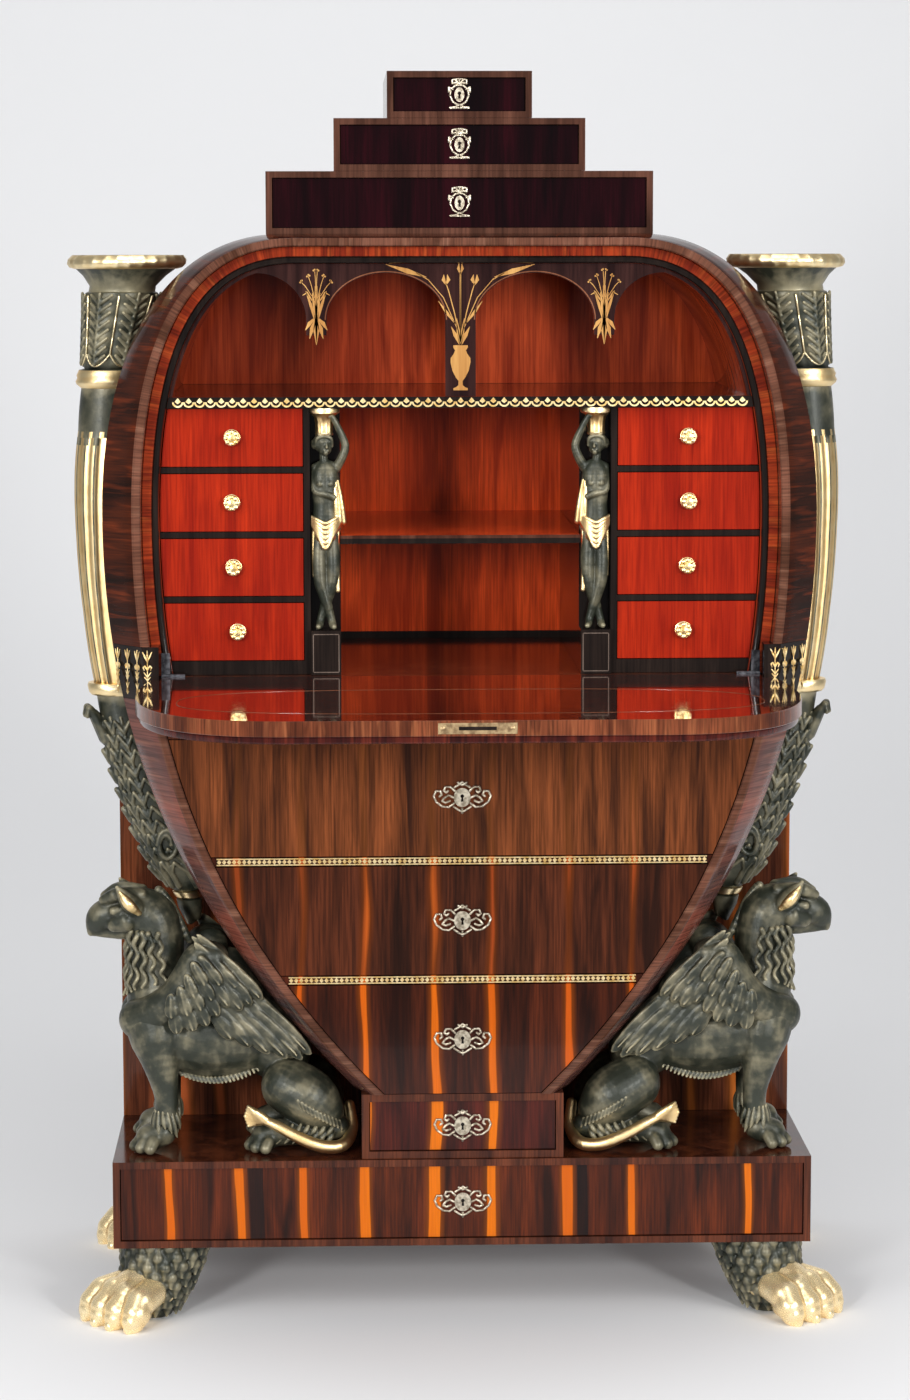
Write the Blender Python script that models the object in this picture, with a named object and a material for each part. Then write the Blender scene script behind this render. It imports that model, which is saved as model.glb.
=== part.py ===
# An urn-fronted fall-front writing desk: an egg-shaped case with a fall flap, a nest of small
# drawers, tapered drawers below, horns of plenty and griffins at the sides, a plinth on paw feet
# and three stepped boxes on top. Metres, +Z up, the front faces -Y, the floor is Z = 0.

import math

import bmesh
import bpy
from mathutils import Matrix, Vector

for old in list(bpy.data.objects):
    bpy.data.objects.remove(old, do_unlink=True)

# Clearances
GAP = 0.0003            # between pieces that touch
RUN = 0.001             # around drawer fronts
FLAP_GAP = 0.002        # around the flap
SLIDE_GAP = 0.0025      # around drawer trays
URN_GAP = 0.0006        # beside the curved cheeks

# Corners on the curved pieces
CHEEK_STEPS = 4
HOOD_STEPS = 6
ARCH_STEPS = 16
FLAP_STEPS = 18
END_STEPS = 3
ARCADE_STEPS = 8
ARCADE_END_STEPS = 5
SHARP_ANGLE = 40

# Feet and plinth
FOOT_HEIGHT = 0.097
FOOT_INSET = 0.061
FOOT_REACH = 0.071
LEG_RADIUS = 0.052
HEEL_RADIUS = 0.030
HEEL_REACH = 0.022
PAW_RADIUS = 0.047
PAW_HEIGHT = 0.052
TOE_RADIUS = 0.016
TOE_REACH = 0.039
TOE_TURNS = (-54, -18, 18, 54)
PLINTH_WIDTH = 0.842
PLINTH_HEIGHT = 0.106
PLINTH_WALL = 0.0085
CASE_DEPTH = 0.46
BACK_THICK = 0.012
PLINTH_DRAWER_DEPTH = 0.376

# Block between plinth and urn
BLOCK_WIDTH = 0.243
BLOCK_HEIGHT = 0.0795
BLOCK_WALL = 0.009
BLOCK_SETBACK = 0.004
BLOCK_DRAWER_DEPTH = 0.30

# Egg outline of the front, at the outer edge of its flat fillet
EGG_BOTTOM_HALF = 0.1075
EGG_BOTTOM_LEAN = 44.8
EGG_BOTTOM_PULL = 0.310
EGG_WAIST_HALF = 0.3876
EGG_WAIST_RISE = 0.6925
EGG_WAIST_PULL_DOWN = 0.245
EGG_WAIST_PULL_UP = 0.204
EGG_TOP_HALF = 0.196
EGG_TOP_RISE = 1.0215
EGG_TOP_PULL = 0.134

# Splayed rim round the egg: how far its back edge stands out from the front outline
SPLAY_AT_BOTTOM = 0.022
SPLAY_AT_WAIST = 0.038
SPLAY_AT_TOP = 0.005
SPLAY_TOP_SPREAD = 0.014
SPLAY_DEPTH = 0.045
RIM_DEPTH = 0.055
FILLET = 0.0095
CASE_WALL = 0.0135

# Lower drawers, from the bottom up, and what lies over them
LOWER_DRAWER_HEIGHTS = (0.135, 0.1335, 0.143)
RAIL = 0.0105
DECK = 0.045
BED = 0.027
LOWER_DRAWER_DEPTH = 0.36
LOWER_FRONT_SETBACK = 0.003
LOWER_FRONT_THICK = 0.018
RAIL_SETBACK = 0.004
TRAY_WALL = 0.008

# Rear case
REAR_BOARD_Y = 0.24
REAR_BOARD_THICK = 0.020

# Flap and its hinges
FLAP_THICK = 0.025
FLAP_LIP = 0.004
FLAP_LIP_THICK = 0.008
FLAP_REST_RISE = 1.3
HINGE_BLOCK_RISE = 0.038
BARREL_RADIUS = 0.0035
BARREL_LENGTH = 0.028
BARREL_ROOM = 0.006
BARREL_SIDES = 10
HINGE_PLATE_WIDTH = 0.010
HINGE_PLATE_HEIGHT = 0.028
HINGE_PLATE_SETBACK = 0.0015
LOCK_WIDTH = 0.084
LOCK_HEIGHT = 0.0125
LOCK_THICK = 0.003

# Nest of small drawers
NEST_SETBACK = 0.005
NEST_THICK = 0.020
SMALL_FRONT_SETBACK = 0.010
SMALL_FRONT_THICK = 0.010
SMALL_DRAWER_HEIGHT = 0.070
SMALL_DRAWER_COUNT = 4
SMALL_DRAWER_DEPTH = 0.30
SMALL_TRAY_WALL = 0.006
BANK_BASE = 0.0165
DIVIDER = 0.007
BANK_PANEL = 0.0075
GALLERY_SHELF = 0.013
NICHE_WIDTH = 0.286
NICHE_SHELF = 0.010
NICHE_SHELF_RISE = 0.166
NICHE_SHELF_SETBACK = 0.012
PILASTER_WIDTH = 0.0355
PILASTER_SETBACK = 0.042
PEDESTAL_HEIGHT = 0.053
KNOB_RADIUS = 0.0085
KNOB_LENGTH = 0.011

# Arcade over the gallery shelf
ARCADE_THICK = 0.012
ARCADE_SETBACK = 0.006
ARCADE_PILASTER = 0.036
ARCADE_INNER_SPAN = 0.140
ARCADE_PENDANT = 0.024
ARCADE_PENDANT_RISE = 0.072
ARCADE_SPRING_RISE = 0.090
ARCADE_CROWN = 0.011
ARCADE_EDGE = 0.004

# Horns of plenty: the axis stands at HORN_Y, and leans in from the upper ring to the mouth
HORN_GAP = 0.0007
HORN_Y = 0.15
HORN_DROP = 0.0197
HORN_TAIL_RISE = 0.183
HORN_LEAN = 0.0244
HORN_SIDES = 12
HORN_STEP = 0.03

# Griffins: their middle plane, how far the breast stands out from the foot of the urn, and the
# height of the figure from paws to ears
GRIFFIN_Y = 0.095
GRIFFIN_STAND = 0.2915
GRIFFIN_HEIGHT = 0.332

# Fineness of the carved figures
GRIFFIN_VOXEL = 0.0055
GRIFFIN_FACES = 1300
CARYATID_VOXEL = 0.0026
CARYATID_FACES = 520
FOOT_VOXEL = 0.0055
FOOT_FACES = 380

# Stepped boxes on top, from the bottom up: width and height
STEP_SIZES = ((0.458, 0.074), (0.297, 0.0615), (0.171, 0.0545))
STEP_SETBACK = 0.003
STEP_DEPTH = 0.34
STEP_WALL = 0.0075
STEP_FRONT_RECESS = 0.003
STEP_DRAWER_DEPTH = 0.26

# Levels and places that follow from the sizes above
PLINTH_TOP = FOOT_HEIGHT + PLINTH_HEIGHT
BLOCK_TOP = PLINTH_TOP + BLOCK_HEIGHT
DECK_BOTTOM = BLOCK_TOP + sum(LOWER_DRAWER_HEIGHTS) + 2 * RAIL
DECK_TOP = DECK_BOTTOM + DECK
HINGE_Z = DECK_TOP + BED
HINGE_Y = FLAP_THICK
NEST_FRONT = HINGE_Y + NEST_SETBACK
SMALL_FRONT = NEST_FRONT + SMALL_FRONT_SETBACK
HINGE_BLOCK_TOP = HINGE_Z + HINGE_BLOCK_RISE
BACK_Y = CASE_DEPTH - BACK_THICK
EGG_TOP = BLOCK_TOP + EGG_TOP_RISE
NICHE_HALF = NICHE_WIDTH / 2
PILASTER_OUT = NICHE_HALF + PILASTER_WIDTH
BANK_IN = PILASTER_OUT + GAP
DRAWER_IN = BANK_IN + BANK_PANEL
BANK_FLOOR = HINGE_Z + GAP
DRAWER_PITCH = SMALL_DRAWER_HEIGHT + DIVIDER
SHELF_BOTTOM = BANK_FLOOR + BANK_BASE + SMALL_DRAWER_COUNT * DRAWER_PITCH - DIVIDER
SHELF_TOP = SHELF_BOTTOM + GALLERY_SHELF
HOOD_TOP = EGG_TOP - FILLET + CASE_WALL
FLAP_LENGTH = EGG_TOP - FILLET - FLAP_GAP - HINGE_Z
FLAP_TILT = math.radians(FLAP_REST_RISE)
FLAP_EDGE = FLAP_THICK - FLAP_LIP_THICK
FLAP_REACH = FLAP_LENGTH * math.cos(FLAP_TILT) + FLAP_EDGE * math.sin(FLAP_TILT)
FRONT_Y = (FLAP_REACH - HINGE_Y - CASE_DEPTH) / 2

desk = bpy.data.objects.new("desk", None)
desk.location = (0, FRONT_Y, 0)
bpy.context.scene.collection.objects.link(desk)


# Finishes

def finish(name, colour, roughness, metallic=0.0):
    material = bpy.data.materials.new(name)
    material.use_nodes = True
    shader = material.node_tree.nodes["Principled BSDF"]
    shader.inputs["Base Color"].default_value = (*colour, 1.0)
    shader.inputs["Roughness"].default_value = roughness
    shader.inputs["Metallic"].default_value = metallic
    return material


STRIPED_WOOD = finish("striped_wood", (0.10, 0.030, 0.018), 0.25)
RIM_WOOD = finish("rim_wood", (0.065, 0.030, 0.024), 0.20)
RED_WOOD = finish("red_wood", (0.36, 0.055, 0.018), 0.25)
PURPLE_WOOD = finish("purple_wood", (0.045, 0.010, 0.014), 0.20)
EBONY = finish("ebony", (0.012, 0.009, 0.009), 0.30)
BRONZE = finish("green_bronze", (0.045, 0.052, 0.042), 0.45, 0.4)
IRON = finish("iron", (0.05, 0.05, 0.055), 0.5, 0.8)
BRASS = finish("brass", (0.62, 0.42, 0.18), 0.35, 0.9)


# Making solids

def add_piece(name, shape, material, origin=(0, 0, 0), smooth=False):
    """Turn a bmesh in the desk's coordinates into a named piece with the given origin."""
    bmesh.ops.recalc_face_normals(shape, faces=shape.faces)
    bmesh.ops.translate(shape, verts=shape.verts, vec=-Vector(origin))
    mesh = bpy.data.meshes.new(name)
    shape.to_mesh(mesh)
    shape.free()
    mesh.materials.append(material)
    if smooth:
        mesh.shade_smooth()
        mesh.set_sharp_from_angle(angle=math.radians(SHARP_ANGLE))
    piece = bpy.data.objects.new(name, mesh)
    piece.parent = desk
    piece.location = origin
    bpy.context.scene.collection.objects.link(piece)
    return piece


def loft(rings):
    """A closed solid through rings of equal point counts, with flat ends."""
    shape = bmesh.new()
    loops = [[shape.verts.new(point) for point in ring] for ring in rings]
    for lower, upper in zip(loops, loops[1:]):
        for i in range(len(lower)):
            j = (i + 1) % len(lower)
            shape.faces.new((lower[i], lower[j], upper[j], upper[i]))
    shape.faces.new(reversed(loops[0]))
    shape.faces.new(loops[-1])
    return shape


def prism_y(outline, front, back):
    """An outline of (x, z) points carried from front to back."""
    return loft([[(x, y, z) for x, z in outline] for y in (front, back)])


def prism_z(outline, low, high):
    """An outline of (x, y) points carried from low to high."""
    return loft([[(x, y, z) for x, y in outline] for z in (low, high)])


def prism_x(outline, left, right):
    """An outline of (y, z) points carried from left to right."""
    return loft([[(x, y, z) for y, z in outline] for x in (left, right)])


def block(x0, x1, y0, y1, z0, z1):
    return prism_z([(x0, y0), (x1, y0), (x1, y1), (x0, y1)], z0, z1)


def hollow(shape, direction, wall, depth):
    """Sink the face that looks along direction into the shape, leaving a wall round it."""
    bmesh.ops.recalc_face_normals(shape, faces=shape.faces)
    shape.faces.ensure_lookup_table()
    face = max(shape.faces, key=lambda f: f.normal.dot(direction))
    bmesh.ops.inset_region(shape, faces=[face], thickness=wall, use_even_offset=True)
    grown = bmesh.ops.extrude_face_region(shape, geom=[face])
    if face.is_valid:
        bmesh.ops.delete(shape, geom=[face], context="FACES_ONLY")
    moved = [v for v in grown["geom"] if isinstance(v, bmesh.types.BMVert)]
    bmesh.ops.translate(shape, verts=moved, vec=-Vector(direction) * depth)
    return shape


def tray(x0, x1, y0, y1, z0, z1, wall):
    return hollow(block(x0, x1, y0, y1, z0, z1), Vector((0, 0, 1)), wall, z1 - z0 - wall)


def front_box(half, y0, y1, z0, z1, wall):
    """A case that is open in front."""
    return hollow(block(-half, half, y0, y1, z0, z1), Vector((0, -1, 0)), wall, y1 - y0 - wall)


def settle(piece):
    """Replace a piece's mesh by what its modifiers make of it."""
    graph = bpy.context.evaluated_depsgraph_get()
    mesh = bpy.data.meshes.new_from_object(piece.evaluated_get(graph))
    piece.modifiers.clear()
    piece.data = mesh
    return piece


def combine(piece, tool_shape, operation):
    """Join a shape, given in the desk's coordinates, to a piece, or cut it out of the piece."""
    tool = add_piece(piece.name + "_tool", tool_shape, piece.data.materials[0])
    cut = piece.modifiers.new(operation.lower(), "BOOLEAN")
    cut.operation = operation
    cut.solver = "EXACT"
    cut.object = tool
    settle(piece)
    bpy.data.objects.remove(tool, do_unlink=True)
    return piece


def mirrored(piece, name):
    """The same piece on the other side of the desk's middle plane."""
    shape = bmesh.new()
    shape.from_mesh(piece.data)
    bmesh.ops.translate(shape, verts=shape.verts, vec=piece.location)
    bmesh.ops.scale(shape, verts=shape.verts, vec=(-1, 1, 1))
    x, y, z = piece.location
    smooth = piece.data.polygons[0].use_smooth
    return add_piece(name, shape, piece.data.materials[0], (-x, y, z), smooth)


def both_sides(name, shape, material, origin=(0, 0, 0), smooth=False):
    """A right-hand shape as two pieces, right and left."""
    right = add_piece(name + "_right", shape, material, origin, smooth)
    return right, mirrored(right, name + "_left")


# The egg outline

def bezier(points, t):
    """Point and direction on a cubic curve."""
    a, b, c, d = points
    s = 1 - t
    place = a * s ** 3 + b * (3 * s * s * t) + c * (3 * s * t * t) + d * t ** 3
    along = (b - a) * (s * s) + (c - b) * (2 * s * t) + (d - c) * (t * t)
    return place, along


def egg(bottom_half, waist_half, top_half, top):
    """Right half of an egg, from the block (0) by the waist (1) to the flat top (2)."""
    lean = math.radians(EGG_BOTTOM_LEAN)
    waist_z = BLOCK_TOP + EGG_WAIST_RISE
    bottom = Vector((bottom_half, BLOCK_TOP))
    waist = Vector((waist_half, waist_z))
    crown = Vector((top_half, top))
    lower = (bottom, bottom + EGG_BOTTOM_PULL * Vector((math.sin(lean), math.cos(lean))),
             waist - Vector((0, EGG_WAIST_PULL_DOWN)), waist)
    upper = (waist, waist + Vector((0, EGG_WAIST_PULL_UP)),
             crown + Vector((EGG_TOP_PULL, 0)), crown)

    def point(t, inset=0.0):
        place, along = bezier(lower, t) if t < 1 else bezier(upper, t - 1)
        along.normalize()
        return place - Vector((along.y, -along.x)) * inset

    return point


front_egg = egg(EGG_BOTTOM_HALF, EGG_WAIST_HALF, EGG_TOP_HALF, EGG_TOP)
outer_egg = egg(EGG_BOTTOM_HALF + SPLAY_AT_BOTTOM, EGG_WAIST_HALF + SPLAY_AT_WAIST,
                EGG_TOP_HALF + SPLAY_TOP_SPREAD, EGG_TOP + SPLAY_AT_TOP)


HALVINGS = 50


def find_level(outline, z, inset=0.0):
    """The place along an egg outline, or a little below its foot, that lies at height z."""
    low, high = -0.25, 2.0
    for _ in range(HALVINGS):
        middle = (low + high) / 2
        if outline(middle, inset).y < z:
            low = middle
        else:
            high = middle
    return low


def half_width(outline, z, inset=0.0):
    return outline(find_level(outline, z, inset), inset).x


def steps(start, end, count):
    return [start + (end - start) * i / count for i in range(count + 1)]


def side_of_egg(outline, heights, inset=0.0):
    """Points up the right side of an egg at the given heights."""
    return [Vector((half_width(outline, z, inset), z)) for z in heights]


def arch(outline, start, inset=0.0):
    """Points over the top of an egg, from height start on the right to the same on the left."""
    heights = [start] + [z for z in HOOD_HEIGHTS if z > start + GAP]
    right = side_of_egg(outline, heights, inset)
    right += [outline(t, inset) for t in steps(1.0, 2.0, ARCH_STEPS)]
    left = [Vector((-p.x, p.y)) for p in reversed(right)]
    return right + left


def width_on(points, z):
    """Half width at height z of a side that runs straight from point to point."""
    for low, high in zip(points, points[1:]):
        if z <= high.y:
            break
    return low.x + (high.x - low.x) * (z - low.y) / (high.y - low.y)


def ring_at(points, depths):
    """One ring across a moulding: its points with their depths."""
    return [(p.x, y, p.y) for p, y in zip(points, depths)]


INNER = FILLET
WALL_OUT = FILLET - CASE_WALL
NEST_OUT = FILLET + GAP
NEST_IN = NEST_OUT + NEST_THICK


def lower_levels():
    """Bottom and top of each lower drawer opening."""
    levels = []
    low = BLOCK_TOP
    for height in LOWER_DRAWER_HEIGHTS:
        levels.append((low, low + height))
        low += height + RAIL
    return levels


# Heights at which the curved sides have their corners, the same for all pieces that meet there
CHEEK_HEIGHTS = [z for low, high in lower_levels() for z in steps(low, high, CHEEK_STEPS)]
HOOD_HEIGHTS = steps(DECK_TOP, BLOCK_TOP + EGG_WAIST_RISE, HOOD_STEPS)[:-1]
cheek_inside = side_of_egg(front_egg, CHEEK_HEIGHTS, INNER)
cheek_outside = side_of_egg(front_egg, CHEEK_HEIGHTS, WALL_OUT)
nest_inside = arch(front_egg, HINGE_Z + GAP, NEST_IN)


# Feet: carved paws that point outwards, cut flat on the floor and under the plinth

def ball(shape, centre, radii, tilt=0.0):
    place = Matrix.Translation(centre) @ Matrix.Rotation(tilt, 4, "Y") @ Matrix.Diagonal((*radii, 1))
    bmesh.ops.create_icosphere(shape, subdivisions=2, radius=1, matrix=place)


def limb(shape, start, start_radius, end, end_radius):
    """A tapering limb with round ends."""
    start, end = Vector(start), Vector(end)
    count = max(2, int((end - start).length / (0.5 * min(start_radius, end_radius))))
    for i in range(count + 1):
        share = i / count
        radius = start_radius + (end_radius - start_radius) * share
        ball(shape, start.lerp(end, share), (radius, radius, radius))


def fuse(name, shape, material, voxel, faces):
    """Melt overlapping forms into one skin with about the given number of faces."""
    piece = add_piece(name, shape, material)
    melt = piece.modifiers.new("melt", "REMESH")
    melt.mode = "VOXEL"
    melt.voxel_size = voxel
    settle(piece)
    thin = piece.modifiers.new("thin", "DECIMATE")
    thin.ratio = min(1.0, faces / (2 * len(piece.data.polygons)))
    settle(piece)
    return piece


def trim(piece, place, direction):
    """Cut a piece flat at a plane and drop what lies beyond it, along direction."""
    shape = bmesh.new()
    shape.from_mesh(piece.data)
    geometry = shape.verts[:] + shape.edges[:] + shape.faces[:]
    bmesh.ops.bisect_plane(shape, geom=geometry, dist=1e-6, plane_co=place, plane_no=direction,
                           clear_outer=True)
    rim = [edge for edge in shape.edges if edge.is_boundary]
    bmesh.ops.holes_fill(shape, edges=rim)
    bmesh.ops.triangulate(shape, faces=shape.faces)
    bmesh.ops.recalc_face_normals(shape, faces=shape.faces)
    shape.to_mesh(piece.data)
    shape.free()
    return piece


def paw_shape(x, y):
    shape = bmesh.new()
    outward = Vector((1, -1, 0)).normalized()
    leg = Vector((x, y, FOOT_HEIGHT))
    heel = Vector((x, y, HEEL_RADIUS / 2)) + outward * HEEL_REACH
    paw = Vector((x, y, PAW_HEIGHT / 3)) + outward * FOOT_REACH
    limb(shape, leg, LEG_RADIUS, heel, HEEL_RADIUS)
    limb(shape, heel, HEEL_RADIUS, paw, PAW_RADIUS / 2)
    ball(shape, paw, (PAW_RADIUS, PAW_RADIUS, PAW_HEIGHT - paw.z))
    for turn in TOE_TURNS:
        ahead = Matrix.Rotation(math.radians(turn), 3, "Z") @ outward
        toe = paw + ahead * TOE_REACH
        toe.z = TOE_RADIUS
        ball(shape, toe, (TOE_RADIUS, TOE_RADIUS, TOE_RADIUS))
    return shape


def make_feet():
    x = PLINTH_WIDTH / 2 - FOOT_INSET
    for place, y in (("front", FOOT_INSET), ("rear", CASE_DEPTH - FOOT_INSET)):
        foot = fuse(f"foot_{place}_right", paw_shape(x, y), BRONZE, FOOT_VOXEL, FOOT_FACES)
        trim(foot, (0, 0, 0), (0, 0, -1))
        trim(foot, (0, 0, FOOT_HEIGHT - GAP), (0, 0, 1))
        mirrored(foot, f"foot_{place}_left")


# Drawers

# Turned profile of a knob, in shares of its radius and of its length, from its root
KNOB_PROFILE = ((0.45, -0.3), (0.45, 0.45), (0.9, 0.6), (1.0, 0.8), (0.7, 1.0))
KNOB_SIDES = 8


def knob_shape(x, y, z):
    """A turned rosette knob that stands out of a drawer front at y."""
    turns = [math.tau * i / KNOB_SIDES for i in range(KNOB_SIDES)]
    rings = []
    for radius, length in KNOB_PROFILE:
        rings.append([(x + KNOB_RADIUS * radius * math.cos(a), y - KNOB_LENGTH * length,
                       z + KNOB_RADIUS * radius * math.sin(a)) for a in turns])
    return loft(rings)


def add_drawer(name, outline, front, thick, room, depth, wall, material):
    """A drawer: a front of the given (x, z) outline and a tray in room (x0, x1, z0, z1)."""
    x0, x1, z0, z1 = room
    middle = ((x0 + x1) / 2, front, (z0 + z1) / 2)
    piece = add_piece(name, prism_y(outline, front, front + thick), material, middle)
    return combine(piece, tray(x0, x1, front + thick / 2, front + depth, z0, z1, wall), "UNION")


def square_drawer(name, half, front, thick, low, high, depth, wall, material):
    """A drawer with a straight front that fills an opening of the given half width and height."""
    outline = [(-half + RUN, low + RUN), (half - RUN, low + RUN),
               (half - RUN, high - RUN), (-half + RUN, high - RUN)]
    room = (-half + SLIDE_GAP, half - SLIDE_GAP, low + GAP, high - 2 * SLIDE_GAP)
    return add_drawer(name, outline, front, thick, room, depth, wall, material)


# Plinth, block and stepped boxes, each with its drawer

def make_plinth():
    half = PLINTH_WIDTH / 2
    low, high = FOOT_HEIGHT, PLINTH_TOP
    add_piece("plinth_case", front_box(half, 0, CASE_DEPTH, low, high, PLINTH_WALL), STRIPED_WOOD)
    square_drawer("plinth_drawer", half - PLINTH_WALL, RAIL_SETBACK, LOWER_FRONT_THICK,
                  low + PLINTH_WALL, high - PLINTH_WALL, PLINTH_DRAWER_DEPTH, TRAY_WALL, STRIPED_WOOD)


def make_block():
    half = BLOCK_WIDTH / 2
    low, high = PLINTH_TOP + GAP, BLOCK_TOP
    shape = front_box(half, BLOCK_SETBACK, BACK_Y - GAP, low, high, BLOCK_WALL)
    add_piece("block_case", shape, STRIPED_WOOD)
    square_drawer("block_drawer", half - BLOCK_WALL, BLOCK_SETBACK + RAIL_SETBACK, LOWER_FRONT_THICK,
                  low + BLOCK_WALL, high - BLOCK_WALL, BLOCK_DRAWER_DEPTH, TRAY_WALL, STRIPED_WOOD)


def make_steps():
    front = RIM_DEPTH + STEP_SETBACK
    low = HOOD_TOP + GAP
    for name, (width, height) in zip(("lower", "middle", "upper"), STEP_SIZES):
        half = width / 2
        high = low + height
        shape = front_box(half, front, front + STEP_DEPTH, low, high, STEP_WALL)
        add_piece(f"step_box_{name}", shape, PURPLE_WOOD)
        square_drawer(f"step_drawer_{name}", half - STEP_WALL, front + STEP_FRONT_RECESS,
                      SMALL_FRONT_THICK, low + STEP_WALL, high - STEP_WALL, STEP_DRAWER_DEPTH,
                      SMALL_TRAY_WALL, PURPLE_WOOD)
        low = high + GAP


# Lower urn: cheeks, rails, tapered drawers

def make_cheeks():
    depths = (RIM_DEPTH + GAP, RIM_DEPTH + GAP, BACK_Y - GAP, BACK_Y - GAP)
    rings = [ring_at((i, o, o, i), depths) for i, o in zip(cheek_inside, cheek_outside)]
    right, left = both_sides("cheek", loft(rings), STRIPED_WOOD)
    for cheek in (right, left):
        trim(cheek, (0, 0, BLOCK_TOP + GAP), (0, 0, -1))
        trim(cheek, (0, 0, DECK_BOTTOM - GAP), (0, 0, 1))


def tapered_outline(heights, clearance):
    """Both curved sides of the lower urn at the given heights, as one outline."""
    right = [(width_on(cheek_inside, z) - clearance, z) for z in heights]
    return right + [(-x, z) for x, z in reversed(right)]


def make_lower_drawers():
    names = ("bottom", "middle", "top")
    for name, (low, high) in zip(names, lower_levels()):
        outline = tapered_outline(steps(low + RUN, high - RUN, CHEEK_STEPS), RUN)
        half = width_on(cheek_inside, low) - SLIDE_GAP
        room = (-half, half, low + GAP, high - 2 * SLIDE_GAP)
        add_drawer(f"lower_drawer_{name}", outline, LOWER_FRONT_SETBACK, LOWER_FRONT_THICK, room,
                   LOWER_DRAWER_DEPTH, TRAY_WALL, STRIPED_WOOD)


def make_rails():
    levels = lower_levels()
    for name, (_, low), (high, _) in zip(("lower", "upper"), levels, levels[1:]):
        outline = tapered_outline((low + GAP, high - GAP), GAP)
        add_piece(f"rail_{name}", prism_y(outline, RAIL_SETBACK, BACK_Y - GAP), STRIPED_WOOD)


# Splayed rims and hinge blocks

def rim_ring(inner, face, outer):
    depths = (0, 0, SPLAY_DEPTH, RIM_DEPTH, RIM_DEPTH)
    return ring_at((inner, face, outer, outer, inner), depths)


def make_lower_rims():
    heights = [BLOCK_TOP + GAP] + CHEEK_HEIGHTS[1:] + [DECK_TOP]
    sides = [side_of_egg(outline, heights, inset)
             for outline, inset in ((front_egg, INNER), (front_egg, 0), (outer_egg, 0))]
    both_sides("rim_lower", loft([rim_ring(*row) for row in zip(*sides)]), RIM_WOOD)


def make_upper_rim():
    start = HINGE_BLOCK_TOP + GAP
    lines = [arch(outline, start, inset)
             for outline, inset in ((front_egg, INNER), (front_egg, 0), (outer_egg, 0))]
    add_piece("rim_upper", loft([rim_ring(*row) for row in zip(*lines)]), RIM_WOOD)


HINGE_BLOCK_IN = half_width(front_egg, DECK_TOP, INNER) - GAP


def make_hinge_blocks():
    low, high = DECK_TOP + GAP, HINGE_BLOCK_TOP
    rings = []
    for z in steps(low, high, END_STEPS):
        face = Vector((half_width(front_egg, z), z))
        inner = Vector((half_width(front_egg, z, INNER), z))
        outer = Vector((half_width(outer_egg, z), z))
        edge = Vector((HINGE_BLOCK_IN, z))
        depths = (0, 0, SPLAY_DEPTH, RIM_DEPTH, RIM_DEPTH, NEST_FRONT - GAP, NEST_FRONT - GAP)
        rings.append(ring_at((edge, face, outer, outer, inner, inner, edge), depths))
    both_sides("hinge_block", loft(rings), EBONY)


# Rear case, deck, bed and back

def urn_edge(low, high):
    """What stands clear of the block and the cheeks, from low to high."""
    edge = [(BLOCK_WIDTH / 2 + URN_GAP, low)]
    edge += [(max(p.x, BLOCK_WIDTH / 2) + URN_GAP, p.y) for p in cheek_outside[:-1]]
    return edge + [(cheek_outside[-1].x + URN_GAP, high)]


def make_rear_case():
    half = PLINTH_WIDTH / 2
    low, high = PLINTH_TOP + GAP, DECK_BOTTOM - GAP
    front, back = REAR_BOARD_Y, REAR_BOARD_Y + REAR_BOARD_THICK
    board = [(half, low)] + urn_edge(low, high) + [(half, high)]
    both_sides("rear_board", prism_y(board, front, back), STRIPED_WOOD)
    side = block(half - REAR_BOARD_THICK, half, back + GAP, BACK_Y - GAP, low, high)
    both_sides("rear_side", side, STRIPED_WOOD)


def make_deck():
    tongue = half_width(front_egg, DECK_BOTTOM, INNER) - GAP
    shoulder = half_width(front_egg, DECK_TOP, WALL_OUT)
    half = PLINTH_WIDTH / 2
    right = [(tongue, RAIL_SETBACK), (tongue, RIM_DEPTH + GAP), (shoulder, RIM_DEPTH + GAP),
             (shoulder, REAR_BOARD_Y), (half, REAR_BOARD_Y), (half, BACK_Y - GAP)]
    outline = right + [(-x, y) for x, y in reversed(right)]
    add_piece("deck", prism_z(outline, DECK_BOTTOM, DECK_TOP), STRIPED_WOOD)


def make_bed():
    half = HINGE_BLOCK_IN - GAP
    notch = HINGE_BLOCK_IN - BARREL_LENGTH - 2 * FLAP_GAP
    right = [(notch, HINGE_Y + GAP), (notch, HINGE_Y + BARREL_ROOM), (half, HINGE_Y + BARREL_ROOM),
             (half, BACK_Y - GAP)]
    outline = right + [(-x, y) for x, y in reversed(right)]
    add_piece("writing_bed", prism_z(outline, DECK_TOP + GAP, HINGE_Z), RED_WOOD)


def make_back():
    half = PLINTH_WIDTH / 2
    upper = [(p.x, p.y) for p in arch(front_egg, DECK_TOP + GAP, WALL_OUT)]
    low = PLINTH_TOP + GAP
    outline = [(half, low), (half, DECK_TOP)] + upper + [(-half, DECK_TOP), (-half, low)]
    add_piece("back_panel", prism_y(outline, BACK_Y, CASE_DEPTH), STRIPED_WOOD)


# Hood and nest of drawers

def arch_shell(start, inner_inset, outer_inset, front, back):
    inner = arch(front_egg, start, inner_inset)
    outer = arch(front_egg, start, outer_inset)
    depths = (front, front, back, back)
    return loft([ring_at((i, o, o, i), depths) for i, o in zip(inner, outer)])


def make_hood():
    shell = arch_shell(DECK_TOP + GAP, INNER, WALL_OUT, RIM_DEPTH + GAP, BACK_Y - GAP)
    add_piece("hood", shell, STRIPED_WOOD)
    lining = arch_shell(HINGE_Z + GAP, NEST_IN, NEST_OUT, NEST_FRONT, BACK_Y - GAP)
    add_piece("nest_arch", lining, EBONY)


def nest_half(z):
    return width_on(nest_inside, z) - GAP


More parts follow.
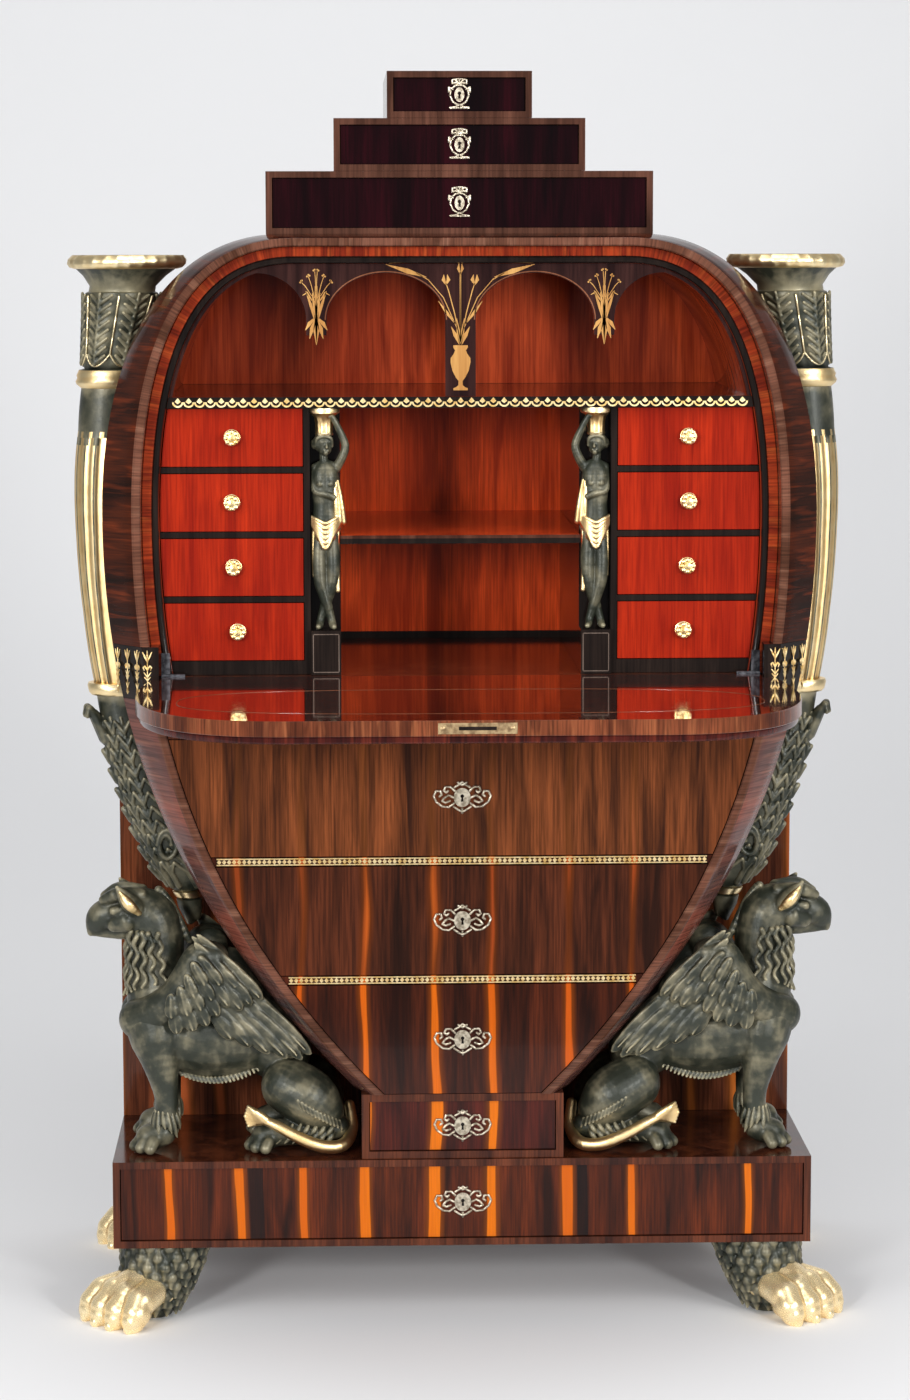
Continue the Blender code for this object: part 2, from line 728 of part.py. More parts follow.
def make_gallery_shelf():
    right = [(nest_half(SHELF_BOTTOM), SHELF_BOTTOM), (nest_half(SHELF_TOP), SHELF_TOP)]
    outline = right + [(-x, z) for x, z in reversed(right)]
    add_piece("gallery_shelf", prism_y(outline, NEST_FRONT, BACK_Y - GAP), EBONY)


def make_banks():
    top = SHELF_BOTTOM - GAP
    outline = [(BANK_IN, top), (BANK_IN, BANK_FLOOR)]
    low, thick = BANK_FLOOR, BANK_BASE
    for _ in range(SMALL_DRAWER_COUNT):
        outline += [(nest_half(low), low), (nest_half(low + thick), low + thick),
                    (DRAWER_IN, low + thick)]
        outline.append((DRAWER_IN, low + thick + SMALL_DRAWER_HEIGHT))
        low, thick = low + thick + SMALL_DRAWER_HEIGHT, DIVIDER
    outline[-1] = (DRAWER_IN, top)
    both_sides("drawer_bank", prism_y(outline, SMALL_FRONT, BACK_Y - GAP), EBONY)


def make_small_drawers():
    for row in range(SMALL_DRAWER_COUNT):
        low = BANK_FLOOR + BANK_BASE + row * DRAWER_PITCH
        high = low + SMALL_DRAWER_HEIGHT
        ends = [(nest_half(z) - RUN, z) for z in steps(low + RUN, high - RUN, END_STEPS)]
        outline = [(DRAWER_IN + RUN, low + RUN)] + ends + [(DRAWER_IN + RUN, high - RUN)]
        reach = min(nest_half(low), nest_half(high)) - SLIDE_GAP
        room = (DRAWER_IN + SLIDE_GAP, reach, low + GAP, high - 2 * SLIDE_GAP)
        name = f"small_drawer_{row + 1}"
        right = add_drawer(name + "_right", outline, SMALL_FRONT, SMALL_FRONT_THICK, room,
                           SMALL_DRAWER_DEPTH, SMALL_TRAY_WALL, RED_WOOD)
        middle = ((outline[0][0] + ends[0][0]) / 2, (low + high) / 2)
        combine(right, knob_shape(middle[0], SMALL_FRONT, middle[1]), "UNION")
        mirrored(right, name + "_left")


def make_pilasters():
    low, high = BANK_FLOOR, SHELF_BOTTOM - GAP
    step = low + PEDESTAL_HEIGHT
    deep = NEST_FRONT + PILASTER_SETBACK
    outline = [(NEST_FRONT, low), (BACK_Y - GAP, low), (BACK_Y - GAP, high), (deep, high),
               (deep, step), (NEST_FRONT, step)]
    both_sides("pilaster", prism_x(outline, NICHE_HALF, PILASTER_OUT), EBONY)


def make_niche_shelf():
    high = HINGE_Z + NICHE_SHELF_RISE
    half = NICHE_HALF - GAP
    shape = block(-half, half, NEST_FRONT + NICHE_SHELF_SETBACK, BACK_Y - GAP, high - NICHE_SHELF, high)
    add_piece("niche_shelf", shape, RED_WOOD)


def arch_cut(left, right, spring, crown, first, last, count):
    """Points on an arched opening between two angles, counted from its right springing."""
    middle, reach = (left + right) / 2, (right - left) / 2
    turns = [math.radians(a) for a in steps(first, last, count)]
    return [(middle + reach * math.cos(a), spring + (crown - spring) * math.sin(a)) for a in turns]


def make_arcade():
    low = SHELF_TOP + GAP
    crown = EGG_TOP - NEST_IN - ARCADE_CROWN
    spring = low + ARCADE_SPRING_RISE
    drop = low + ARCADE_PENDANT_RISE
    inner_low = ARCADE_PILASTER / 2
    inner_high = inner_low + ARCADE_INNER_SPAN
    outer_low = inner_high + ARCADE_PENDANT
    lining = arch(front_egg, HINGE_Z, NEST_IN + GAP + ARCADE_EDGE)
    shoulder = [p for p in lining if p.x > 0 and low < p.y < crown]
    turn = width_on(lining, crown)
    right = [(inner_low, low)]
    right += arch_cut(inner_low, inner_high, spring, crown, 180, 0, ARCADE_STEPS)
    right += [(inner_high, drop), (outer_low, drop)]
    right += arch_cut(outer_low, 2 * turn - outer_low, spring, crown, 180, 90, ARCADE_END_STEPS)
    right += [(p.x, p.y) for p in reversed(shoulder)]
    right.append((width_on(lining, low), low))
    inside = [(-x, z) for x, z in reversed(right)] + right
    edge = [(nest_half(low), low)]
    edge += [(p.x, p.y) for p in arch(front_egg, HINGE_Z, NEST_IN + GAP) if p.y > low]
    edge.append((-nest_half(low), low))
    front = NEST_FRONT + ARCADE_SETBACK
    shape = prism_y(edge + inside, front, front + ARCADE_THICK)
    add_piece("arcade_panel", shape, PURPLE_WOOD)


# Caryatids: draped figures that carry a capital on the head, one arm raised to it

# Limbs of the right-hand figure, each from one end to the other. An end is its place to the side in
# pilaster widths, its place ahead in half depths, its height in figure heights, and its radius in
# shares of a half depth.
CARYATID_LIMBS = (
    ((-0.10, 0.0, 0.04, 0.34), (-0.16, 0.0, 0.30, 0.40)),
    ((-0.16, 0.0, 0.30, 0.40), (-0.18, 0.0, 0.50, 0.62)),
    ((0.10, 0.0, 0.04, 0.34), (0.14, 0.0, 0.30, 0.40)),
    ((0.14, 0.0, 0.30, 0.40), (0.16, 0.0, 0.50, 0.62)),
    ((-0.06, 0.0, 0.015, 0.70), (0.06, 0.0, 0.015, 0.70)),
    ((-0.10, 0.1, 0.48, 0.78), (0.10, 0.1, 0.48, 0.78)),
    ((0.0, 0.0, 0.50, 0.71), (0.0, 0.0, 0.72, 0.60)),
    ((-0.14, 0.0, 0.74, 0.56), (0.14, 0.0, 0.74, 0.56)),
    ((0.0, 0.0, 0.76, 0.31), (0.0, 0.0, 0.82, 0.31)),
    ((0.0, 0.0, 0.85, 0.52), (0.0, 0.0, 0.875, 0.52)),
    ((0.0, 0.0, 0.94, 0.56), (0.0, 0.0, 0.99, 0.68)),
    ((-0.34, 0.0, 0.75, 0.28), (-0.42, 0.1, 0.84, 0.25)),
    ((-0.42, 0.1, 0.84, 0.25), (-0.24, 0.1, 0.95, 0.25)),
    ((0.36, 0.0, 0.74, 0.28), (0.38, 0.3, 0.64, 0.25)),
    ((0.38, 0.3, 0.64, 0.25), (-0.05, 0.55, 0.68, 0.25)))


def make_caryatids():
    foot = BANK_FLOOR + PEDESTAL_HEIGHT
    tall = SHELF_BOTTOM - foot
    x = NICHE_HALF + PILASTER_WIDTH / 2
    y = NEST_FRONT + PILASTER_SETBACK / 2
    deep = PILASTER_SETBACK / 2

    def end(side, ahead, rise, thick):
        return (x + side * PILASTER_WIDTH, y - ahead * deep, foot + rise * tall), thick * deep

    shape = bmesh.new()
    for first, last in CARYATID_LIMBS:
        limb(shape, *end(*first), *end(*last))
    figure = fuse("caryatid_right", shape, BRONZE, CARYATID_VOXEL, CARYATID_FACES)
    trim(figure, (0, 0, foot + GAP), (0, 0, -1))
    trim(figure, (0, 0, SHELF_BOTTOM - GAP), (0, 0, 1))
    trim(figure, (0, NEST_FRONT + PILASTER_SETBACK - GAP, 0), (0, 1, 0))
    trim(figure, (PILASTER_OUT, 0, 0), (1, 0, 0))
    mirrored(figure, "caryatid_left")


# Fall flap, lock and hinges: made open, about the hinge line

def flap_outline(inset):
    """Plan of the open flap: x against distance from the hinge line."""
    swing = math.hypot(FLAP_THICK, HINGE_BLOCK_RISE) + FLAP_GAP
    notch = HINGE_BLOCK_IN - BARREL_LENGTH - 2 * FLAP_GAP - inset
    half = HINGE_BLOCK_IN - FLAP_GAP - inset
    room = BARREL_ROOM + inset
    right = [(notch, GAP + inset), (notch, room), (half, room), (half, swing)]
    margin = FILLET + FLAP_GAP + inset
    first = find_level(front_egg, HINGE_Z + swing, margin)
    for t in steps(first, 2.0, FLAP_STEPS):
        p = front_egg(t, margin)
        right.append((p.x, p.y - HINGE_Z))
    return right + [(-x, s) for x, s in reversed(right)]


def make_flap():
    def ring(inset, drop):
        return [(x, -s, -drop) for x, s in flap_outline(inset)]

    rings = [ring(0, 0), ring(0, FLAP_EDGE), ring(FLAP_LIP, FLAP_EDGE), ring(FLAP_LIP, FLAP_THICK)]
    flap = add_piece("flap", loft(rings), RED_WOOD)
    half = LOCK_WIDTH / 2
    low, high = -(FLAP_EDGE + LOCK_HEIGHT) / 2, -(FLAP_EDGE - LOCK_HEIGHT) / 2
    front, back = -FLAP_LENGTH, -FLAP_LENGTH + LOCK_THICK
    mortise = block(-half - GAP, half + GAP, front - RUN, back + GAP, low - GAP, high + GAP)
    combine(flap, mortise, "DIFFERENCE")
    lock = add_piece("flap_lock", block(-half, half, front, back, low, high), BRASS)
    for piece in (flap, lock):
        piece.location = (0, HINGE_Y, HINGE_Z)
        piece.rotation_euler = (-FLAP_TILT, 0, 0)


def make_hinges():
    right = HINGE_BLOCK_IN - FLAP_GAP
    turns = [math.tau * (i + 0.5) / BARREL_SIDES for i in range(BARREL_SIDES)]
    barrel = [(HINGE_Y + BARREL_RADIUS * math.cos(a), HINGE_Z + BARREL_RADIUS * math.sin(a))
              for a in turns]
    shape = prism_x(barrel, right - BARREL_LENGTH, right)
    piece = add_piece("hinge_right", shape, IRON, (right, HINGE_Y, HINGE_Z))
    plate = block(right - HINGE_PLATE_WIDTH, right, HINGE_Y + HINGE_PLATE_SETBACK, NEST_FRONT - GAP,
                  HINGE_Z + GAP, HINGE_Z + HINGE_PLATE_HEIGHT)
    combine(piece, plate, "UNION")
    mirrored(piece, "hinge_left")


# Horns of plenty: from the acorn at the tail, by a leafy curve and a fluted stem, to a bell mouth

# Up to the upper ring: height in shares of the horn, how far the outer side stands out from the
# edge of the rim, and radius. Between ACORN_SHARE and the upper ring the horn is let into the case.
HORN_STEM = (
    (0.000, 0.0555, 0.003), (0.026, 0.053, 0.015), (0.0385, 0.049, 0.016), (0.041, 0.0455, 0.013),
    (0.0425, 0.048, 0.0155), (0.0505, 0.048, 0.0155), (0.052, 0.0455, 0.013), (0.060, 0.049, 0.018),
    (0.097, 0.053, 0.026), (0.134, 0.0517, 0.029), (0.219, 0.0471, 0.030), (0.268, 0.0461, 0.029),
    (0.317, 0.043, 0.024), (0.349, 0.0405, 0.0235), (0.350, 0.049, 0.031), (0.368, 0.049, 0.031),
    (0.369, 0.040, 0.0235), (0.476, 0.0381, 0.026), (0.586, 0.0388, 0.029), (0.683, 0.0408, 0.031),
    (0.744, 0.0414, 0.031), (0.805, 0.0474, 0.0305), (0.811, 0.0565, 0.0385), (0.832, 0.059, 0.0385))
# From there to the mouth and its dished top: height in shares, and radius
HORN_BELL = (
    (0.834, 0.0305), (0.891, 0.0365), (0.928, 0.041), (0.945, 0.0435), (0.947, 0.040), (0.955, 0.040),
    (0.970, 0.050), (0.980, 0.060), (0.982, 0.066), (0.987, 0.0695), (0.9935, 0.0695), (1.000, 0.065),
    (0.996, 0.056))
ACORN_SHARE = 0.055


def case_side(z):
    """Half width of the case behind the rim near height z; the deck is straight-sided."""
    level = DECK_TOP if DECK_BOTTOM - HORN_STEP < z < DECK_TOP else z
    return half_width(front_egg, level, WALL_OUT) + HORN_GAP


def make_horns():
    low, high = BLOCK_TOP + HORN_TAIL_RISE, EGG_TOP - HORN_DROP
    tall = high - low
    turns = [math.tau * i / HORN_SIDES for i in range(HORN_SIDES)]

    def ring(centre, share, outer, inner):
        """A round section whose inner half reaches in by its own radius."""
        points = []
        for a in turns:
            reach = outer if math.cos(a) > 0 else inner
            points.append((centre + reach * math.cos(a), HORN_Y + outer * math.sin(a), low + share * tall))
        return points

    rings = []
    for first, last in zip(HORN_STEM, HORN_STEM[1:]):
        count = max(1, math.ceil((last[0] - first[0]) * tall / HORN_STEP))
        columns = [steps(a, b, count)[:-1] for a, b in zip(first, last)]
        for share, stand, radius in zip(*columns):
            z = low + share * tall
            centre = half_width(outer_egg, z) + stand - radius
            inner = radius if share < ACORN_SHARE else max(radius, centre - case_side(z))
            rings.append(ring(centre, share, radius, inner))
    share0, stand, radius = HORN_STEM[-1]
    start = half_width(outer_egg, low + share0 * tall) + stand - radius
    for share, radius in ((share0, radius),) + HORN_BELL:
        centre = start - HORN_LEAN * (share - share0) / (1 - share0)
        rings.append(ring(centre, share, radius, radius))
    both_sides("horn", loft(rings), BRONZE, smooth=True)


# Griffins, seated on the plinth beside the urn, looking outwards

# Each form runs from one end to the other. An end is its place inwards from the breast, to the side
# of the middle plane, its height, and its radius, all in shares of the figure's height.
GRIFFIN_BODY = (
    ((0.00, 0.0, 0.852, 0.072), (0.108, 0.0, 0.831, 0.102)),
    ((-0.03, 0.0, 0.843, 0.057), (-0.096, 0.0, 0.795, 0.027)),
    ((0.126, 0.0, 0.789, 0.120), (0.132, 0.0, 0.617, 0.120)),
    ((0.138, 0.0, 0.557, 0.132), (0.157, 0.0, 0.407, 0.141)),
    ((0.181, 0.0, 0.385, 0.151), (0.557, 0.0, 0.295, 0.138)),
    ((0.617, 0.0, 0.226, 0.156), (0.669, 0.0, 0.181, 0.150)),
    ((0.858, -0.10, 0.09, 0.020), (0.80, -0.19, 0.04, 0.020)),
    ((0.80, -0.19, 0.04, 0.020), (0.60, -0.21, 0.06, 0.020)),
    ((0.60, -0.21, 0.06, 0.020), (0.48, -0.20, 0.145, 0.024)))
# The same for the forms that it has on both sides
GRIFFIN_PAIRS = (
    ((0.042, 0.048, 0.904, 0.030), (0.0, 0.060, 0.979, 0.015)),
    ((0.126, 0.120, 0.377, 0.090), (0.154, 0.126, 0.135, 0.048)),
    ((0.132, 0.126, 0.042, 0.051), (0.078, 0.126, 0.036, 0.048)),
    ((0.66, 0.108, 0.187, 0.120), (0.71, 0.108, 0.166, 0.120)),
    ((0.753, 0.136, 0.048, 0.045), (0.518, 0.142, 0.042, 0.048)))
# Wings: middle, radii and tilt
WING_FORMS = (
    ((0.33, 0.157, 0.575), (0.15, 0.036, 0.19), 20),
    ((0.50, 0.160, 0.475), (0.25, 0.034, 0.115), 38))


def make_griffins():
    floor = PLINTH_TOP
    breast = half_width(outer_egg, BLOCK_TOP) + GRIFFIN_STAND
    shape = bmesh.new()

    def place(inward, side, rise):
        return Vector((breast, GRIFFIN_Y, floor)) + GRIFFIN_HEIGHT * Vector((-inward, side, rise))

    def end(side, form):
        return place(form[0], side * form[1], form[2]), form[3] * GRIFFIN_HEIGHT

    for first, last in GRIFFIN_BODY:
        limb(shape, *end(1, first), *end(1, last))
    for side in (-1, 1):
        for first, last in GRIFFIN_PAIRS:
            limb(shape, *end(side, first), *end(side, last))
        for (inward, out, rise), radii, tilt in WING_FORMS:
            size = GRIFFIN_HEIGHT * Vector(radii)
            ball(shape, place(inward, side * out, rise), size, -math.radians(tilt))
    griffin = fuse("griffin_right", shape, BRONZE, GRIFFIN_VOXEL, GRIFFIN_FACES)
    trim(griffin, (0, 0, floor + GAP), (0, 0, -1))
    trim(griffin, (0, REAR_BOARD_Y - GAP, 0), (0, 1, 0))
    low = floor - GAP
    urn = [(0, low)] + urn_edge(low, DECK_BOTTOM) + [(0, DECK_BOTTOM)]
    combine(griffin, prism_y(urn, -FLAP_THICK, CASE_DEPTH), "DIFFERENCE")
    rim = side_of_egg(outer_egg, [BLOCK_TOP] + CHEEK_HEIGHTS[1:])
    rim = [(0, BLOCK_TOP)] + [(p.x + URN_GAP, p.y) for p in rim] + [(0, rim[-1].y)]
    combine(griffin, prism_y(rim, -FLAP_THICK, RIM_DEPTH + URN_GAP), "DIFFERENCE")
    mirrored(griffin, "griffin_left")


make_feet()
make_plinth()
make_block()
make_cheeks()
make_rails()
make_lower_drawers()
make_lower_rims()
make_hinge_blocks()
make_upper_rim()
make_rear_case()
make_deck()
make_bed()
make_back()
make_hood()
make_gallery_shelf()
make_banks()
make_small_drawers()
make_pilasters()
make_niche_shelf()
make_arcade()
make_caryatids()
make_flap()
make_hinges()
make_horns()
make_griffins()
make_steps()
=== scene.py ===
# Looks of an urn-fronted fall-front writing desk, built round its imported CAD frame.

import math

import bmesh
import bpy
from mathutils import Matrix, Vector
from mathutils.geometry import interpolate_bezier


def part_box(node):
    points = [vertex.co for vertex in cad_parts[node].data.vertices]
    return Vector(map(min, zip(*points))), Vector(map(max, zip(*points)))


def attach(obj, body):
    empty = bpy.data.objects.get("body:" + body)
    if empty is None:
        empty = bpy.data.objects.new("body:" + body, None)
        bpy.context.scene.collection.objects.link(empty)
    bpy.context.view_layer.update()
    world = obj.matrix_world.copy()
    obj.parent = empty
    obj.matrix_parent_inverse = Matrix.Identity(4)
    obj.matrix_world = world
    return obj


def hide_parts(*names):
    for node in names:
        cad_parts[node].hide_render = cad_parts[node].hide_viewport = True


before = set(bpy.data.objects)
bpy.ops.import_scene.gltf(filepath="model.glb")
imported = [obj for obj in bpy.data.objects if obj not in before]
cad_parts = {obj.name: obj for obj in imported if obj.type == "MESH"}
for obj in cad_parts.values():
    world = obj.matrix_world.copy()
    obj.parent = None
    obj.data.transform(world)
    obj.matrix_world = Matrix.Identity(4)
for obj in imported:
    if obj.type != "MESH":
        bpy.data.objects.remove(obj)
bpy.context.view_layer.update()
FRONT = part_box("rim_upper")[0].y


# The camera and the studio. The desk stands on a pale sweep of paper, lit by soft lamps from both sides,
# from above and from beside the camera, and is seen from the front, a little to the left and from above.

CAMERA_PLACE = Vector((-0.1474, FRONT - 4.3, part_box("plinth_case")[0].z + 1.1992))
CAMERA_YAW = 0.0323
CAMERA_PITCH = 0.1239
CAMERA_ROLL = -0.0019
CAMERA_LENS = 94.05


def add_object(name, data):
    """An object of the scene with a mesh, a lamp or a camera."""
    made = bpy.data.objects.new(name, data)
    bpy.context.scene.collection.objects.link(made)
    return made


def aim_camera():
    ahead = Vector((math.sin(CAMERA_YAW) * math.cos(CAMERA_PITCH),
                    math.cos(CAMERA_YAW) * math.cos(CAMERA_PITCH), -math.sin(CAMERA_PITCH)))
    side = Vector((math.cos(CAMERA_YAW), -math.sin(CAMERA_YAW), 0))
    turn = Matrix((side, side.cross(ahead), -ahead)).transposed() @ Matrix.Rotation(CAMERA_ROLL, 3, "Z")
    lens = bpy.data.cameras.new("camera")
    lens.lens = CAMERA_LENS
    lens.sensor_width = 36
    camera = add_object("camera", lens)
    camera.matrix_world = Matrix.Translation(CAMERA_PLACE) @ turn.to_4x4()
    bpy.context.scene.camera = camera


def lamp(name, place, target, size, watts):
    light = bpy.data.lights.new(name, "AREA")
    light.shape = "RECTANGLE"
    light.size, light.size_y = size
    light.energy = watts
    made = add_object(name, light)
    made.location = place
    made.rotation_euler = (Vector(target) - Vector(place)).to_track_quat("-Z", "Y").to_euler()


def new_tree(name):
    """A material's node tree with its Principled shader."""
    material = bpy.data.materials.new(name)
    material.use_nodes = True
    tree = material.node_tree
    return material, tree, tree.nodes["Principled BSDF"]


def feed(tree, target, inputs):
    """Put links or values on the inputs of a node, by name or number."""
    for key, value in inputs.items():
        if isinstance(value, bpy.types.NodeSocket):
            tree.links.new(value, target.inputs[key])
        else:
            target.inputs[key].default_value = value


def node(tree, kind, inputs=None, **settings):
    """A shader node with its settings and inputs."""
    made = tree.nodes.new("ShaderNode" + kind)
    for key, value in settings.items():
        setattr(made, key, value)
    feed(tree, made, inputs or {})
    return made


def rgb(colour):
    """A colour with its alpha, or a socket as it is."""
    return (*colour, 1.0) if isinstance(colour, tuple) else colour


def mix(tree, share, first, second):
    """Colour mixing of two colours or sockets."""
    return node(tree, "Mix", {0: share, 6: rgb(first), 7: rgb(second)}, data_type="RGBA").outputs[2]


def math_node(tree, operation, *values):
    return node(tree, "Math", dict(enumerate(values)), operation=operation).outputs[0]


def ramp(tree, value, stops):
    """A ramp of greys through (place, grey) stops."""
    made = node(tree, "ValToRGB", {"Fac": value})
    elements = made.color_ramp.elements
    while len(elements) < len(stops):
        elements.new(0.5)
    for element, (place, grey) in zip(elements, stops):
        element.position = place
        element.color = (grey, grey, grey, 1)
    return made.outputs["Color"]


def new_verts(grown):
    """The vertices among extruded geometry."""
    return [g for g in grown if isinstance(g, bmesh.types.BMVert)]


PAPER = ((0.84, 0.84, 0.85), (0.86, 0.86, 0.865))
PAPER_FRONT = -1.7
PAPER_HALF = 7
# Steps of the sweep: along the floor, round the bend and up behind the desk
PAPER_STEPS = ((0, 4.2, 0), (0, 1.2, 0.25), (0, 0.7, 0.9), (0, 0.25, 5))


def make_studio():
    shape = bmesh.new()
    edges = [shape.edges.new([shape.verts.new((x, PAPER_FRONT, 0)) for x in (-PAPER_HALF, PAPER_HALF)])]
    for step in PAPER_STEPS:
        grown = bmesh.ops.extrude_edge_only(shape, edges=edges)["geom"]
        bmesh.ops.translate(shape, verts=new_verts(grown), vec=step)
        edges = [g for g in grown if isinstance(g, bmesh.types.BMEdge) and all(v in grown for v in g.verts)]
    bmesh.ops.recalc_face_normals(shape, faces=shape.faces)
    mesh = bpy.data.meshes.new("paper_sweep")
    shape.to_mesh(mesh)
    mesh.shade_smooth()
    sweep = add_object("paper_sweep", mesh)
    smooth = sweep.modifiers.new("smooth", "SUBSURF")
    smooth.levels = smooth.render_levels = 3
    material, tree, shader = new_tree("pale_paper")
    coords = node(tree, "TexCoord").outputs["Object"]
    cloud = node(tree, "TexNoise", {"Vector": coords, "Scale": 0.6}).outputs["Fac"]
    feed(tree, shader, {"Base Color": mix(tree, cloud, *PAPER), "Roughness": 0.9,
                        "Specular IOR Level": 0.1})
    mesh.materials.append(material)
    world = bpy.data.worlds.new("studio")
    world.use_nodes = True
    sky = world.node_tree.nodes["Background"]
    feed(world.node_tree, sky, {"Color": (0.95, 0.97, 1.0, 1), "Strength": 0.26})
    bpy.context.scene.world = world
    lamp("lamp_left", (-2.6, -2.6, 2.1), (0, 0, 0.8), (1.6, 2.2), 48)
    lamp("lamp_right", (2.6, -2.6, 2.1), (0, 0, 0.8), (1.6, 2.2), 48)
    lamp("lamp_top", (0, -1.4, 3.3), (0, 0.1, 0.7), (2.4, 1.4), 34)
    lamp("lamp_front_left", (-1.9, -4.4, 1.5), (0, 0, 0.95), (0.6, 0.8), 100)
    lamp("lamp_front_right", (2.1, -4.4, 1.5), (0, 0, 0.95), (0.6, 0.8), 100)
    lamp("lamp_backdrop", (0, 1.6, 3.8), (0, 2.8, 0), (4, 1.2), 38)
    bpy.context.scene.view_settings.view_transform = "Standard"


aim_camera()
make_studio()


# Striped veneer of the fronts and the case. Thin sheets are glued over softwood boards and French
# polished. The grain runs up the fronts, with bright streaks of sapwood that carry on from drawer to
# drawer; behind each front the tray is plain pale wood.

def start_group(name, inputs, outputs):
    """A shader node group with named sockets, given as (label, kind)."""
    group = bpy.data.node_groups.new(name, "ShaderNodeTree")
    for label, kind in inputs:
        group.interface.new_socket(label, in_out="INPUT", socket_type="NodeSocket" + kind)
    for label, kind in outputs:
        group.interface.new_socket(label, in_out="OUTPUT", socket_type="NodeSocket" + kind)
    return group, group.nodes.new("NodeGroupInput").outputs, group.nodes.new("NodeGroupOutput").inputs


def use_group(tree, group, inputs):
    return node(tree, "Group", inputs, node_tree=group).outputs


def stretched_noise(tree, vector, stretch, scale, detail=2.0, distortion=0.0):
    squeeze = node(tree, "Mapping", {"Vector": vector, "Scale": stretch}).outputs["Vector"]
    return node(tree, "TexNoise", {"Vector": squeeze, "Scale": scale, "Detail": detail,
                                   "Distortion": distortion}).outputs["Fac"]


def make_grain():
    """Wood grain that runs along Z: fine fibre, broad figure, pores, and the slow wander of the tree."""
    group, given, made = start_group(
        "wood_grain", [("Vector", "Vector")],
        [("Fibre", "Float"), ("Figure", "Float"), ("Pores", "Float"), ("Wander", "Float")])
    vector = given["Vector"]
    fibre = stretched_noise(group, vector, (1, 1, 0.035), 420, 3.0)
    figure = stretched_noise(group, vector, (1, 1, 0.10), 42, 4.0, 0.7)
    pores = stretched_noise(group, vector, (1, 1, 0.03), 1500, 1.0)
    wander = stretched_noise(group, vector, (0.5, 0.5, 1), 5.5, 1.0)
    for label, value in (("Fibre", fibre), ("Figure", figure), ("Pores", pores), ("Wander", wander)):
        group.links.new(value, made[label])
    return group


GRAIN = make_grain()
GLOSS = 0.09


def polish(tree, shader, grain, roughness, coat=0.10):
    """French polish over open grain: a clear coat, and a faint unevenness of the fibres."""
    height = math_node(tree, "MULTIPLY_ADD", grain["Pores"], 0.3, grain["Fibre"])
    lift = node(tree, "Bump", {"Height": height, "Strength": 0.04, "Distance": 0.001})
    feed(tree, shader, {"Coat Weight": coat, "Coat Roughness": 0.03, "Specular IOR Level": 0.14,
                        "Roughness": math_node(tree, "MULTIPLY_ADD", grain["Fibre"], 0.06, roughness),
                        "Normal": lift.outputs["Normal"]})


TRAY_WOOD = ((0.26, 0.13, 0.055), (0.36, 0.20, 0.09))


def behind_front(tree, colour, grain, coords, behind):
    """Plain pale wood where the drawer's tray lies behind its front."""
    place = node(tree, "SeparateXYZ", {"Vector": coords}).outputs["Y"]
    tray = math_node(tree, "GREATER_THAN", place, FRONT + behind)
    plain = mix(tree, grain["Figure"], *TRAY_WOOD)
    return mix(tree, tray, colour, plain)


# Streaks, from left to right, with their half widths, in metres
STREAKS = ((-0.355, 0.007), (-0.269, 0.0085), (-0.192, 0.0075), (-0.117, 0.0085), (-0.034, 0.010),
           (0.035, 0.0095), (0.128, 0.0085), (0.205, 0.007), (0.344, 0.0065))
REAR_STREAKS = ((-0.428, 0.010), (-0.346, 0.012), (-0.302, 0.008), (0.296, 0.008), (0.352, 0.012),
                (0.424, 0.009))
STREAK_SPAN = 0.45
# Ends of the nearly black bands of heartwood beside some streaks
DARK_BANDS = ((-0.259, -0.241), (0.139, 0.152))


def streak_stops(streaks):
    """A tent of brightness over each streak, on a ramp that spans the front."""
    stops = [(0.0, 0.0)]
    for place, half in streaks:
        for side, light in ((-1.35, 0.0), (0, 1.0), (1.35, 0.0)):
            stops.append(((place + side * half + STREAK_SPAN) / (2 * STREAK_SPAN), light))
    return stops


SOOT = (0.008, 0.004, 0.003)
HEARTWOOD = (0.006, 0.004, 0.004)


def shades(colour, *shares):
    """A colour with its red, green and blue each made darker by a share."""
    return tuple(c * share for c, share in zip(colour, shares))


